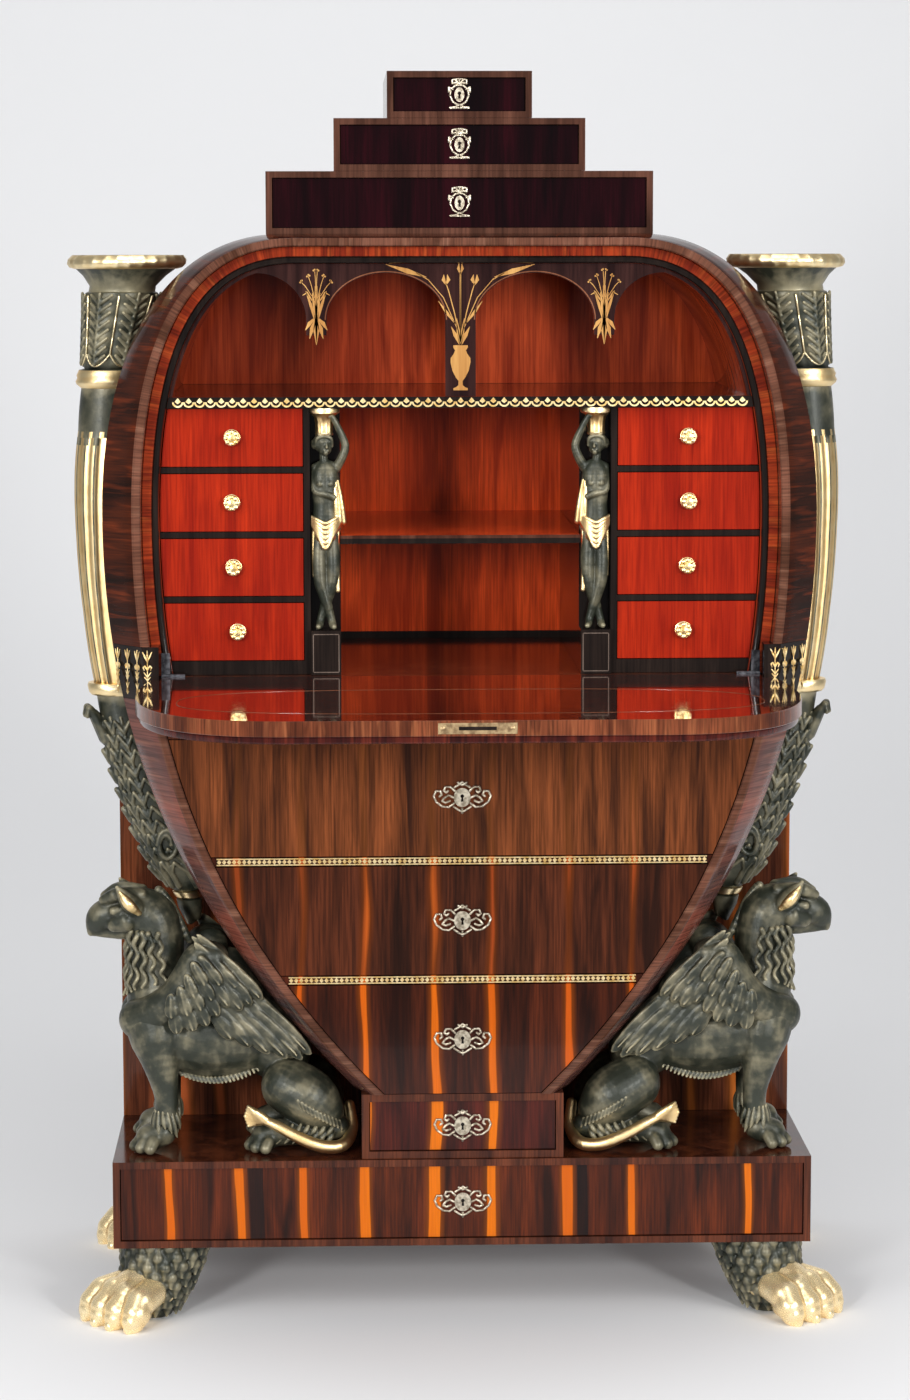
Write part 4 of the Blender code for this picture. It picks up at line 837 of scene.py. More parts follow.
SMALL_FORM = 0.006


def unit_ball(size):
    """A ball of radius 1, with more faces where it is to be large."""
    part = bmesh.new()
    around, up = (10, 7) if size < SMALL_FORM else (24, 13)
    bmesh.ops.create_uvsphere(part, u_segments=around, v_segments=up, radius=1)
    return part


def ball(shape, centre, radii, turn=None):
    """A round form, squashed by its radii and turned."""
    turn = turn or Matrix.Identity(3)
    place = Matrix.Translation(centre) @ turn.to_4x4() @ Matrix.Diagonal((*radii, 1))
    join(shape, unit_ball(max(radii)), place)


def limb(shape, points, radii):
    """Round-ended stretches along a path, each tapering to the next radius."""
    for start, end, first, last in zip(points, points[1:], radii, radii[1:]):
        axis = end - start
        part = unit_ball(max(first, last))
        for vert in part.verts:
            far = vert.co.z > 0
            vert.co = vert.co * (last if far else first) + Vector((0, 0, axis.length if far else 0))
        join(shape, part, Matrix.Translation(start) @ axis.to_track_quat("Z", "Y").to_matrix().to_4x4())


def eased(forms, steps=4):
    """More forms on a smooth curve through the given ones; each has a place and a radius."""
    rows = [Vector(form) for form in forms]
    rows = [2 * rows[0] - rows[1]] + rows + [2 * rows[-1] - rows[-2]]
    curve = []
    for a, b, c, d in zip(rows, rows[1:], rows[2:], rows[3:]):
        for i in range(steps):
            t = i / steps
            bend = (2 * a - 5 * b + 4 * c - d) + t * (3 * b - a - 3 * c + d)
            curve.append(b + 0.5 * t * ((c - a) + t * bend))
    return curve + [rows[-2]]


def carve(shape, voxel, rounds):
    """Melt overlapping forms into one carved skin and soften it."""
    mesh = bpy.data.meshes.new("rough_out")
    shape.to_mesh(mesh)
    shape.free()
    rough = add_object("rough_out", mesh)
    melt = rough.modifiers.new("melt", "REMESH")
    melt.mode = "VOXEL"
    melt.voxel_size = voxel
    soften = rough.modifiers.new("soften", "SMOOTH")
    soften.factor = 0.5
    soften.iterations = rounds
    done = bpy.data.meshes.new_from_object(rough.evaluated_get(bpy.context.evaluated_depsgraph_get()))
    bpy.data.objects.remove(rough, do_unlink=True)
    carved = bmesh.new()
    carved.from_mesh(done)
    return carved


PLINTH_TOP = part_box("plinth_case")[1].z
GRIFFIN_PLACE = Vector((0.421, FRONT + 0.095, PLINTH_TOP))
GRIFFIN_HEIGHT = 0.332
# Forms of the right-hand griffin as (inwards from the breast, to the side, height, radius) in shares of
# its height: those in its middle plane, and those that it has on both sides
GRIFFIN_MIDDLE = (
    ((0.055, 0, 0.868, 0.078), (0.13, 0, 0.858, 0.094), (0.155, 0, 0.78, 0.098), (0.158, 0, 0.66, 0.105),
     (0.182, 0, 0.53, 0.140), (0.215, 0, 0.45, 0.158), (0.31, 0, 0.42, 0.168), (0.42, 0, 0.415, 0.162),
     (0.52, 0, 0.395, 0.125), (0.60, 0, 0.35, 0.120)),
    ((-0.005, 0, 0.868, 0.062), (-0.045, 0, 0.850, 0.055), (-0.072, 0, 0.822, 0.032),
     (-0.087, 0, 0.790, 0.012)),
    ((0.03, 0, 0.805, 0.040), (-0.03, 0, 0.796, 0.024), (-0.078, 0, 0.790, 0.012)))
GRIFFIN_SIDES = (
    ((0.10, 0.045, 0.940, 0.024), (0.02, 0.060, 0.945, 0.026), (-0.035, 0.042, 0.922, 0.018)),
    ((0.045, 0.058, 0.845, 0.042), (0.005, 0.050, 0.832, 0.030)),
    ((0.155, 0.075, 0.45, 0.115), (0.168, 0.112, 0.34, 0.070), (0.188, 0.120, 0.22, 0.046),
     (0.190, 0.122, 0.13, 0.042)),
    ((0.175, 0.124, 0.07, 0.050), (0.125, 0.126, 0.052, 0.050)),
    ((0.64, 0.10, 0.235, 0.105), (0.71, 0.115, 0.195, 0.105), (0.765, 0.12, 0.15, 0.075)),
    ((0.815, 0.115, 0.085, 0.045), (0.70, 0.130, 0.062, 0.040), (0.60, 0.135, 0.070, 0.050),
     (0.55, 0.135, 0.055, 0.052)),
    ((0.108, 0.060, 0.872, 0.026), (0.062, 0.088, 0.918, 0.033), (0.016, 0.092, 0.978, 0.007)),
    ((0.020, 0.070, 0.886, 0.017), (0.004, 0.070, 0.884, 0.017)))
# Wing: broad forms under the feathers as (inwards, side, height), radii and tilt in degrees
WING_FORMS = (
    ((0.325, 0.125, 0.665), (0.085, 0.050, 0.125), 24),
    ((0.42, 0.122, 0.585), (0.150, 0.036, 0.115), 45),
    ((0.56, 0.130, 0.475), (0.170, 0.026, 0.075), 46))
WING_EDGE = ((0.095, 0.075, 0.485, 0.078), (0.165, 0.118, 0.520, 0.074), (0.230, 0.150, 0.580, 0.066),
             (0.275, 0.168, 0.655, 0.061), (0.318, 0.174, 0.725, 0.060), (0.368, 0.172, 0.732, 0.055))
# Feathers as root and tip (inwards, height), width and how far they stand out
FEATHERS = (
    ((0.40, 0.70), (0.722, 0.362), 0.062, 0.171), ((0.39, 0.66), (0.690, 0.345), 0.058, 0.177),
    ((0.38, 0.62), (0.635, 0.352), 0.056, 0.182), ((0.37, 0.59), (0.570, 0.372), 0.054, 0.188),
    ((0.36, 0.57), (0.500, 0.400), 0.052, 0.194), ((0.35, 0.55), (0.435, 0.430), 0.050, 0.199),
    ((0.37, 0.76), (0.545, 0.575), 0.058, 0.194), ((0.37, 0.72), (0.505, 0.555), 0.058, 0.202),
    ((0.36, 0.68), (0.470, 0.540), 0.058, 0.208), ((0.34, 0.75), (0.455, 0.620), 0.052, 0.210),
    ((0.33, 0.68), (0.425, 0.555), 0.052, 0.216), ((0.32, 0.64), (0.385, 0.520), 0.050, 0.220),
    ((0.295, 0.60), (0.345, 0.485), 0.050, 0.222), ((0.26, 0.58), (0.295, 0.465), 0.050, 0.222),
    ((0.225, 0.565), (0.235, 0.455), 0.050, 0.216), ((0.33, 0.73), (0.395, 0.635), 0.046, 0.227),
    ((0.31, 0.68), (0.365, 0.580), 0.046, 0.231), ((0.285, 0.64), (0.325, 0.545), 0.046, 0.233),
    ((0.25, 0.62), (0.275, 0.525), 0.046, 0.231), ((0.215, 0.595), (0.215, 0.515), 0.044, 0.224),
    ((0.30, 0.715), (0.340, 0.640), 0.040, 0.237), ((0.275, 0.670), (0.300, 0.595), 0.040, 0.238))


def griffin_point(inward_by, side, rise):
    return GRIFFIN_PLACE + GRIFFIN_HEIGHT * Vector((-inward_by, side, rise))


def griffin_limb(shape, forms, side=1):
    forms = eased(forms) if 2 < len(forms) < 12 else forms
    points = [griffin_point(a, side * s, r) for a, s, r, _ in forms]
    limb(shape, points, [GRIFFIN_HEIGHT * form[3] for form in forms])


def feather(shape, side, root, tip, width, stand):
    """A long rounded blade with a raised quill, its tip standing a little proud."""
    root, tip = Vector(root), Vector(tip)
    along = tip - root
    turn = Matrix.Rotation(math.atan2(along.y, along.x), 3, "Y") @ Matrix.Rotation(side * 0.08, 3, "Z")
    turn = turn @ Matrix.Rotation(-side * 0.24, 3, "X")
    blades = ((0.32, 0.86), (0.5, 1.0), (0.68, 1.05))
    if along.length <= 0.16:
        blades = ((0.40, 1.0), (0.62, 1.16))
    for share, grow_by in blades:
        spot = root + along * share
        radii = (along.length * (1 - share), 0.0085 + 0.004 * share, width / 2 * grow_by)
        centre = griffin_point(spot.x, side * (stand + 0.006 * share), spot.y)
        ball(shape, centre, GRIFFIN_HEIGHT * Vector(radii), turn)
    quill = [(root + along * share) for share in (0.1, 0.55, 0.93)]
    griffin_limb(shape, [(q.x, stand + 0.013, q.y, 0.0036) for q in quill], side)


def griffin_mane(shape):
    """Wavy locks down the throat, and a scalloped crest down the nape."""
    for column in range(13):
        turn = math.radians(-96 + 16 * column)
        lock = []
        for i in range(37):
            share = i / 36
            sway = turn + 0.065 * math.sin(share * 17 + column * 1.3)
            reach = 0.107 + 0.006 * math.cos(share * 17 + column * 1.3) + 0.028 * share
            lock.append((0.155 + 0.018 * share - reach * math.cos(sway), reach * math.sin(sway),
                         0.805 - (0.245 - 0.0008 * abs(math.degrees(turn))) * share,
                         0.0105 - 0.004 * share))
        griffin_limb(shape, lock)
    for i in range(11):
        share = i / 10
        griffin_limb(shape, [(0.165 + 0.098 * share, 0, 0.948 - 0.168 * share ** 1.4, 0.017),
                             (0.180 + 0.094 * share, 0, 0.935 - 0.175 * share ** 1.4, 0.012)])


def griffin_wing(shape, side):
    for (a, s, r), radii, tilt in WING_FORMS:
        turn = Matrix.Rotation(-math.radians(tilt), 3, "Y")
        ball(shape, griffin_point(a, side * s, r), GRIFFIN_HEIGHT * Vector(radii), turn)
    for root, tip, width, stand in FEATHERS:
        feather(shape, side, root, tip, width, stand)
    griffin_limb(shape, WING_EDGE, side)


# Toe from knuckle to tip: share of its reach, height and radius
TOE = ((0.35, 0.062, 0.026), (0.85, 0.046, 0.024), (1.2, 0.024, 0.021))


def griffin_paws(shape, side):
    for ankle_a, ankle_s in ((0.165, 0.120), (0.585, 0.128)):
        for toe in range(4):
            turn = math.radians(-22 + 29 * toe)
            reach = 0.078 - 0.006 * abs(toe - 1)
            ahead, aside = reach * math.cos(turn), reach * math.sin(turn)
            forms = [(ankle_a - share * ahead, ankle_s + share * aside, rise, size)
                     for share, rise, size in TOE]
            griffin_limb(shape, forms, side)


def griffin_hair(shape, side):
    """Short locks under the belly, down the haunch, round the ankle and along the hind foot."""
    for i in range(21):
        share = i / 20
        a = 0.235 + 0.295 * share
        r = 0.252 + 1.9 * (a - 0.36) ** 2
        griffin_limb(shape, [(a, 0.075, r + 0.010, 0.0070), (a + 0.010, 0.082, r - 0.009, 0.0048)], side)
    for i in range(14):
        share = i / 13
        a, r, s = 0.645 + 0.175 * share, 0.222 - 0.105 * share, 0.198 + 0.105 * share - 0.138 * share ** 2
        griffin_limb(shape, [(a, s, r, 0.0075), (a + 0.010, s, r - 0.030, 0.0045)], side)
    for i in range(14):
        turn = math.tau * i / 14
        drop = i % 3
        lock = ((0.038, 0, 0.155, 0.005), (0.046, 0.12, 0.120 - 0.012 * drop, 0.011),
                (0.054, 0.25, 0.095 - 0.018 * drop, 0.003))
        griffin_limb(shape, [(0.186 - reach * math.cos(turn + sway), 0.122 + reach * math.sin(turn + sway),
                              rise, size) for reach, sway, rise, size in lock], side)
    for i in range(16):
        a, r = 0.800 - 0.030 * (i // 2), 0.092 - 0.026 * (i % 2)
        griffin_limb(shape, [(a, 0.164, r + 0.012, 0.006), (a - 0.012, 0.172, r - 0.010, 0.010),
                             (a - 0.030, 0.174, r - 0.030, 0.003)], side)


URN_SIDE = inward(FRONT_LINE, -0.0046)


GRIFFIN_ROOM = 0.0008


def carve_clear(shape, voxel, rounds):
    """Carve a right-hand piece, pressed flat where it meets the plinth, the rear board or the urn."""
    carved = carve(shape, voxel, rounds)
    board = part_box("rear_board_right")[0].y - GRIFFIN_ROOM
    block_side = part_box("block_case")[1].x + GRIFFIN_ROOM
    for vert in carved.verts:
        vert.co.z = max(vert.co.z, PLINTH_TOP + CLEAR)
        vert.co.y = min(vert.co.y, board)
        beside = block_side
        if vert.co.z > BLOCK_TOP:
            line = OUTER_LINE if vert.co.y < FRONT + RIM_DEPTH + GRIFFIN_ROOM else URN_SIDE
            beside = max(beside, at_height(line, vert.co.z).x + GRIFFIN_ROOM)
        vert.co.x = max(vert.co.x, beside)
    return carved


def griffin():
    shape = bmesh.new()
    for forms in GRIFFIN_MIDDLE:
        griffin_limb(shape, forms)
    for side in (-1, 1):
        for forms in GRIFFIN_SIDES:
            griffin_limb(shape, forms, side)
        griffin_paws(shape, side)
    return carve_clear(shape, 0.0020, 2)


def griffin_wings():
    shape = bmesh.new()
    for side in (-1, 1):
        griffin_wing(shape, side)
    return carve_clear(shape, 0.0015, 1)


def griffin_locks():
    """The mane and the short hair, in finer carving than the body."""
    shape = bmesh.new()
    griffin_mane(shape)
    for side in (-1, 1):
        griffin_hair(shape, side)
    return carve_clear(shape, 0.0013, 1)


EAR_HOLLOW = ((0.096, 0.094, 0.880, 0.012), (0.060, 0.113, 0.918, 0.021), (0.028, 0.104, 0.960, 0.007))
TAIL = ((0.858, -0.05, 0.150, 0.020), (0.868, -0.11, 0.075, 0.022), (0.835, -0.185, 0.034, 0.024),
        (0.76, -0.212, 0.034, 0.024), (0.67, -0.214, 0.070, 0.022), (0.60, -0.208, 0.108, 0.020),
        (0.553, -0.200, 0.130, 0.018))


def griffin_tail():
    """The tail, which lies over the hind foot and ends in a tuft."""
    shape = bmesh.new()
    griffin_limb(shape, TAIL)
    for i in range(7):
        spread = (i - 3) / 3
        tuft = [(0.548, -0.200, 0.134, 0.020),
                (0.515, -0.202 - 0.008 * spread, 0.142 + 0.022 * spread, 0.014),
                (0.478 + 0.012 * abs(spread), -0.200, 0.146 + 0.036 * spread, 0.007)]
        griffin_limb(shape, tuft)
    return carve_clear(shape, 0.0012, 3)


def griffin_ears():
    """The gilt hollows of the ears."""
    shape = bmesh.new()
    for side in (-1, 1):
        griffin_limb(shape, EAR_HOLLOW, side)
    return carve(shape, 0.0010, 3)


add_pair("griffin_figure", griffin(), PATINA, "griffin")
add_pair("griffin_wings", griffin_wings(), PATINA)
add_pair("griffin_locks", griffin_locks(), PATINA)
add_pair("griffin_tail", griffin_tail(), CARVED_GILT)
add_pair("griffin_ears", griffin_ears(), CARVED_GILT)


# Feet: carved hairy lion legs under the plinth's corners, painted green, with burnished gilt paws that
# point outwards. Each has four toes.

FOOT_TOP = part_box("plinth_case")[0].z - CLEAR
FOOT_X = 0.360
FOOT_DEPTHS = {"front": 0.061, "rear": 0.399}
LOCKS = 14
DRAWN_LEG = 0.0987
OUTWARD = Vector((1, -1, 0)).normalized()
ACROSS = Vector((1, 1, 0)).normalized()


def foot_point(place, ahead, aside, rise):
    """A point of a right-hand foot; heights are given for a leg of the drawn height."""
    foot = Vector((FOOT_X, FRONT + FOOT_DEPTHS[place], rise * FOOT_TOP / DRAWN_LEG))
    return foot + ahead * OUTWARD + aside * ACROSS


def foot_limb(shape, place, forms):
    limb(shape, [foot_point(place, a, s, z) for a, s, z, _ in forms], [form[3] for form in forms])


def between_floor(shape):
    for vert in shape.verts:
        vert.co.z = min(max(vert.co.z, 0.0), FOOT_TOP)
    return shape


def hairy_leg(place):
    """The leg with rows of pointed locks that overlap downwards."""
    shape = bmesh.new()
    foot_limb(shape, place, [(0.0, 0, 0.100, 0.046), (0.006, 0, 0.068, 0.042), (0.016, 0, 0.038, 0.033),
                             (0.022, 0, 0.022, 0.028)])
    for row in range(7):
        rise, reach = 0.101 - 0.0122 * row, 0.0480 - 0.00042 * row * (row + 1)
        shift = 0.021 * row / 6
        for i in range(LOCKS):
            turn = math.tau * (i + 0.5 * (row % 2)) / LOCKS
            ahead, aside = reach * math.cos(turn), reach * math.sin(turn)
            foot_limb(shape, place, [(ahead + shift, aside, rise + 0.007, 0.0035),
                                     (ahead * 1.03 + shift, aside * 1.03, rise - 0.006, 0.0078),
                                     (ahead * 1.08 + shift + 0.002, aside * 1.08, rise - 0.020, 0.0016)])
    return between_floor(carve(shape, 0.0018, 1))


def gilt_paw(place):
    """The paw: an instep, four plump toes, and a fringe of locks where the gilding meets the hair."""
    shape = bmesh.new()
    foot_limb(shape, place, [(0.028, 0, 0.056, 0.018), (0.046, 0, 0.042, 0.028), (0.062, 0, 0.028, 0.034)])
    foot_limb(shape, place, [(0.046, 0, 0.046, 0.022), (0.042, 0, 0.060, 0.016), (0.040, 0, 0.072, 0.010)])
    for toe in range(4):
        spread = toe - 1.5
        off = abs(spread)
        foot_limb(shape, place, [(0.050, spread * 0.017, 0.040, 0.019),
                                 (0.074, spread * 0.0220, 0.040 - 0.003 * off, 0.0190)])
        foot_limb(shape, place, [(0.076, spread * 0.0225, 0.038, 0.016),
                                 (0.093 - 0.005 * off, spread * 0.0250, 0.024, 0.0180),
                                 (0.098 - 0.005 * off, spread * 0.0255, 0.016, 0.0150)])
        foot_limb(shape, place, [(0.104 - 0.006 * off, spread * 0.0258, 0.013, 0.0100),
                                 (0.109 - 0.007 * off, spread * 0.0260, 0.008, 0.0070)])
    for lock in range(13):
        spread = (lock - 6) / 8
        off = abs(spread)
        foot_limb(shape, place, [(0.050 - 0.024 * off, spread * 0.040, 0.044 - 0.018 * off, 0.0085),
                                 (0.036 - 0.026 * off, spread * 0.046, 0.058 - 0.028 * off, 0.0050),
                                 (0.026 - 0.030 * off, spread * 0.048, 0.066 - 0.032 * off, 0.0015)])
    return between_floor(carve(shape, 0.0015, 3))


for place in FOOT_DEPTHS:
    add_pair(f"leg_{place}", hairy_leg(place), PATINA, f"foot_{place}")
    add_pair(f"paw_{place}", gilt_paw(place), PAW_GILT)


# Horns of plenty up both sides: carved and painted like the griffins, with gilt rings, flutes, ribs and
# mouth. A serrated leaf wraps the tail, which ends in an acorn.

HORN_DEPTH = 0.15
HORN_LOW = BLOCK_TOP + 0.183
HORN_TALL = EGG_TOP - 0.0197 - HORN_LOW
HORN_LEAN = 0.0244
ACORN_SHARE = 0.055
FLUTES = 14
FLUTE_STRIPS = 6
# Height in shares of the horn, how far its outer side stands out from the rim, and its radius
HORN_STEM = (
    (0.000, 0.0555, 0.003), (0.010, 0.0545, 0.0105), (0.026, 0.053, 0.015), (0.0385, 0.049, 0.016),
    (0.041, 0.0455, 0.013), (0.0425, 0.048, 0.0155), (0.0505, 0.048, 0.0155), (0.052, 0.0455, 0.013),
    (0.060, 0.049, 0.018), (0.097, 0.053, 0.026), (0.134, 0.0517, 0.029), (0.219, 0.0471, 0.030),
    (0.268, 0.0461, 0.029), (0.317, 0.043, 0.024), (0.349, 0.0405, 0.0235), (0.350, 0.047, 0.029),
    (0.354, 0.049, 0.031), (0.364, 0.049, 0.031), (0.368, 0.047, 0.029), (0.369, 0.040, 0.0235),
    (0.476, 0.0381, 0.026), (0.586, 0.0388, 0.029), (0.683, 0.0408, 0.031), (0.744, 0.0414, 0.031),
    (0.805, 0.0474, 0.0305), (0.811, 0.0545, 0.0365), (0.815, 0.0565, 0.0385), (0.820, 0.0555, 0.0370),
    (0.824, 0.0575, 0.0385), (0.832, 0.0565, 0.0365))
HORN_BELL = (
    (0.832, 0.0365), (0.834, 0.0305), (0.891, 0.0365), (0.928, 0.041), (0.945, 0.0435), (0.947, 0.040),
    (0.955, 0.040), (0.970, 0.050), (0.980, 0.060), (0.982, 0.066), (0.987, 0.0695), (0.9935, 0.0695),
    (1.000, 0.065), (0.996, 0.056))
HORN_RING_SHARE = HORN_STEM[-1][0]


def along_table(table, share):
    """The row of a table at a share of the height."""
    for first, last in zip(table, table[1:]):
        if first[0] <= share <= last[0]:
            part = (share - first[0]) / max(last[0] - first[0], 1e-6)
            return [a + (b - a) * part for a, b in zip(first, last)]
    return list(table[-1])


def horn_section(share):
    """Centre, radius and inner reach of the horn at a share of its height."""
    z = HORN_LOW + share * HORN_TALL
    if share < HORN_RING_SHARE:
        _, stand, radius = along_table(HORN_STEM, share)
        centre = at_height(OUTER_LINE, z).x + stand - radius
        inner = radius
        if share > ACORN_SHARE:
            beside = at_height(URN_SIDE, max(z, DECK_TOP) if z > DECK_TOP - 0.075 else z).x + 0.0007
            inner = max(radius, centre - beside)
        return centre, radius, inner, z
    _, stand, radius = HORN_STEM[-1]
    start = at_height(OUTER_LINE, HORN_LOW + HORN_RING_SHARE * HORN_TALL).x + stand - radius
    _, radius = along_table(HORN_BELL, share)
    return start - HORN_LEAN * (share - HORN_RING_SHARE) / (1 - HORN_RING_SHARE), radius, radius, z


def horn_point(share, turn, swell=0.0, section=None):
    """A point on the horn's skin, or off it by a swelling. Turn 0 is outwards, -90 degrees is in front."""
    centre, radius, inner, z = section or horn_section(share)
    reach = radius if math.cos(turn) > 0 else inner
    return Vector((centre + (reach + swell) * math.cos(turn),
                   FRONT + HORN_DEPTH + (radius + swell) * math.sin(turn), z))


def horn_zone(shape, sections, finish, swell=None):
    """One length of the horn with its own relief; finish names the gilt strips among each flute's six."""
    count = FLUTES * FLUTE_STRIPS
    rings = []
    for share, section in sections:
        rings.append([horn_point(share, math.tau * i / count, swell(share, i) if swell else 0.0, section)
                      for i in range(count)])
    loft(rings, shape, caps=False, finishes=[1 if i % FLUTE_STRIPS in finish else 0 for i in range(count)])


def stem_sections(first, last, step=0.012):
    marks = {first, last} | {row[0] for row in HORN_STEM + HORN_BELL[:-1] if first < row[0] < last}
    ordered = sorted(marks)
    shares = []
    for a, b in zip(ordered, ordered[1:]):
        count = max(1, math.ceil((b - a) / step))
        shares += [a + (b - a) * i / count for i in range(count)]
    return [(share, horn_section(share)) for share in shares + [last]]


def bell_sections(first, last):
    """Rows of the bell's table, in its own order, as the dished mouth turns back down."""
    rows = HORN_BELL[first:last]
    made = []
    for share, radius in rows:
        centre = horn_section(max(share, HORN_RING_SHARE))[0]
        made.append((share, (centre, radius, radius, HORN_LOW + share * HORN_TALL)))
    return made


def hollow_flute(share, i):
    rise = math.sin(math.pi * ((i % FLUTE_STRIPS) - 1) / 4) if 1 <= i % FLUTE_STRIPS <= 5 else 0
    return -0.0016 * rise


def collar_leaf(share, i):
    """Pointed leaves round the collar of the bell."""
    part = (share - 0.836) / (0.943 - 0.836)
    wave = abs(math.cos(3 * math.tau * i / (FLUTES * FLUTE_STRIPS)))
    frill = math.sin(part * 34) * 0.0006
    return 0.0034 * wave * math.sin(math.pi * min(max(part, 0), 1)) ** 0.5 + 1.6 * frill * wave


def gadroon(share, i):
    return 0.0022 * abs(math.sin(math.pi * i / 3))


EVERY = range(FLUTE_STRIPS)


def horn():
    shape = bmesh.new()
    horn_zone(shape, stem_sections(0.0, 0.041), ())
    horn_zone(shape, stem_sections(0.041, 0.052), EVERY)
    horn_zone(shape, stem_sections(0.052, 0.3495), ())
    horn_zone(shape, stem_sections(0.3495, 0.3690), EVERY)
    horn_zone(shape, stem_sections(0.3690, 0.722), (0, 1, 2, 3, 4), hollow_flute)
    horn_zone(shape, stem_sections(0.722, 0.733), (1, 2, 3), hollow_flute)
    horn_zone(shape, stem_sections(0.733, 0.742), (2, 3))
    horn_zone(shape, stem_sections(0.742, 0.8055), ())
    horn_zone(shape, stem_sections(0.8055, 0.8319), EVERY)
    horn_zone(shape, stem_sections(0.8321, 0.945, 0.006), (), collar_leaf)
    horn_zone(shape, bell_sections(4, 9), ())
    horn_zone(shape, bell_sections(8, 13), EVERY, gadroon)
    horn_zone(shape, bell_sections(12, 14), ())
    tip = [horn_point(0.0, math.tau * i / 12) for i in range(12)]
    shape.faces.new([shape.verts.new(p) for p in tip])
    mouth = bell_sections(13, 14)[0]
    shape.faces.new([shape.verts.new(horn_point(mouth[0], math.tau * i / 24, 0.0, mouth[1]))
                     for i in range(24)])
    return shape


def horn_leaf():
    """The serrated leaf over the tail: ribs, lobes that point up and outwards, and a curled tip."""
    shape = bmesh.new()
    for turn in (-150, -118, -88, -58, -28, 4):
        rib = [(0.062 + 0.255 * i / 12) for i in range(13)]
        bend = [math.radians(turn + 10 * math.sin(3.5 * share / 0.3)) for share in rib]
        limb(shape, [horn_point(s, b, -0.0005) for s, b in zip(rib, bend)],
             [0.0042 - 0.0016 * i / 12 for i in range(13)])
        for i in range(1, 12):
            for side in (-1, 1):
                start = horn_point(rib[i], bend[i], 0.0)
                end = horn_point(rib[i] + 0.016, bend[i] + side * math.radians(15), 0.0022)
                limb(shape, [start, end], [0.0036, 0.0022])
    for i in range(9):
        share = 0.075 + 0.235 * i / 8
        start = horn_point(share, math.radians(-14), 0.0)
        out = horn_point(share + 0.014, math.radians(-10), 0.0060)
        limb(shape, [start, out], [0.0062, 0.0034])
    for spread in (-26, -13, 0):
        tip = [horn_point(0.285, math.radians(spread), 0.001),
               horn_point(0.318, math.radians(spread), 0.008),
               horn_point(0.330, math.radians(spread), 0.014),
               horn_point(0.320, math.radians(spread), 0.018)]
        limb(shape, tip, [0.0075, 0.0062, 0.0050, 0.0036])
    for panel in range(6):
        middle = math.tau * panel / 6
        for i in range(8):
            for side in (-1, 1):
                share = 0.842 + 0.088 * i / 7
                start = horn_point(share, middle, 0.0030)
                end = horn_point(share + 0.012, middle + side * math.radians(19), 0.0022)
                limb(shape, [start, end], [0.0034, 0.0020])
        limb(shape, [horn_point(share, middle, 0.0038) for share in (0.840, 0.88, 0.92, 0.944)],
             [0.0022] * 4)
    eye = []
    for i in range(25):
        turn = math.tau * i / 16
        centre = horn_point(0.128, math.radians(-96), 0.0)
        fade = 1 - 0.55 * max(0, i - 12) / 12
        eye.append(centre + Vector((0.0115 * fade * math.cos(turn), -0.003,
                                    0.0175 * fade * math.sin(turn))))
    limb(shape, eye, [0.0034] * 25)
    return carve(shape, 0.0013, 1)


def horn_ribs():
    """Thin gilt ribs on the collar, each rising from two arcs on the ring."""
    shape = bmesh.new()
    for i in range(6):
        turn = math.tau * (i + 0.5) / 6
        limb(shape, [horn_point(share, turn, 0.0014) for share in (0.856, 0.88, 0.91, 0.940)], [0.0015] * 4)
        for side in (-1, 1):
            fork = [horn_point(0.838 + 0.018 * (1 - k / 5) ** 2, turn + side * math.radians(30) * k / 5,
                               0.0012)
                    for k in range(6)]
            limb(shape, fork, [0.0014] * 6)
    return shape


add_pair("horn_body", horn(), [PATINA, CARVED_GILT], "horn", 50)
add_pair("horn_leaf", horn_leaf(), PATINA)
add_pair("horn_ribs", horn_ribs(), CARVED_GILT, sharp=60)


# Caryatids on the pilasters beside the niche: small carved women painted as bronze, with gilt drapery, who
# raise one arm to the gilt capital on the head. Their faces are plain and calm.

FIGURE_X = (NICHE_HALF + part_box("pilaster_right")[1].x) / 2
FIGURE_DEPTH = NEST_FRONT + 0.021
FIGURE_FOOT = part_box("caryatid_right")[0].z
FIGURE_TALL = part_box("caryatid_right")[1].z - FIGURE_FOOT
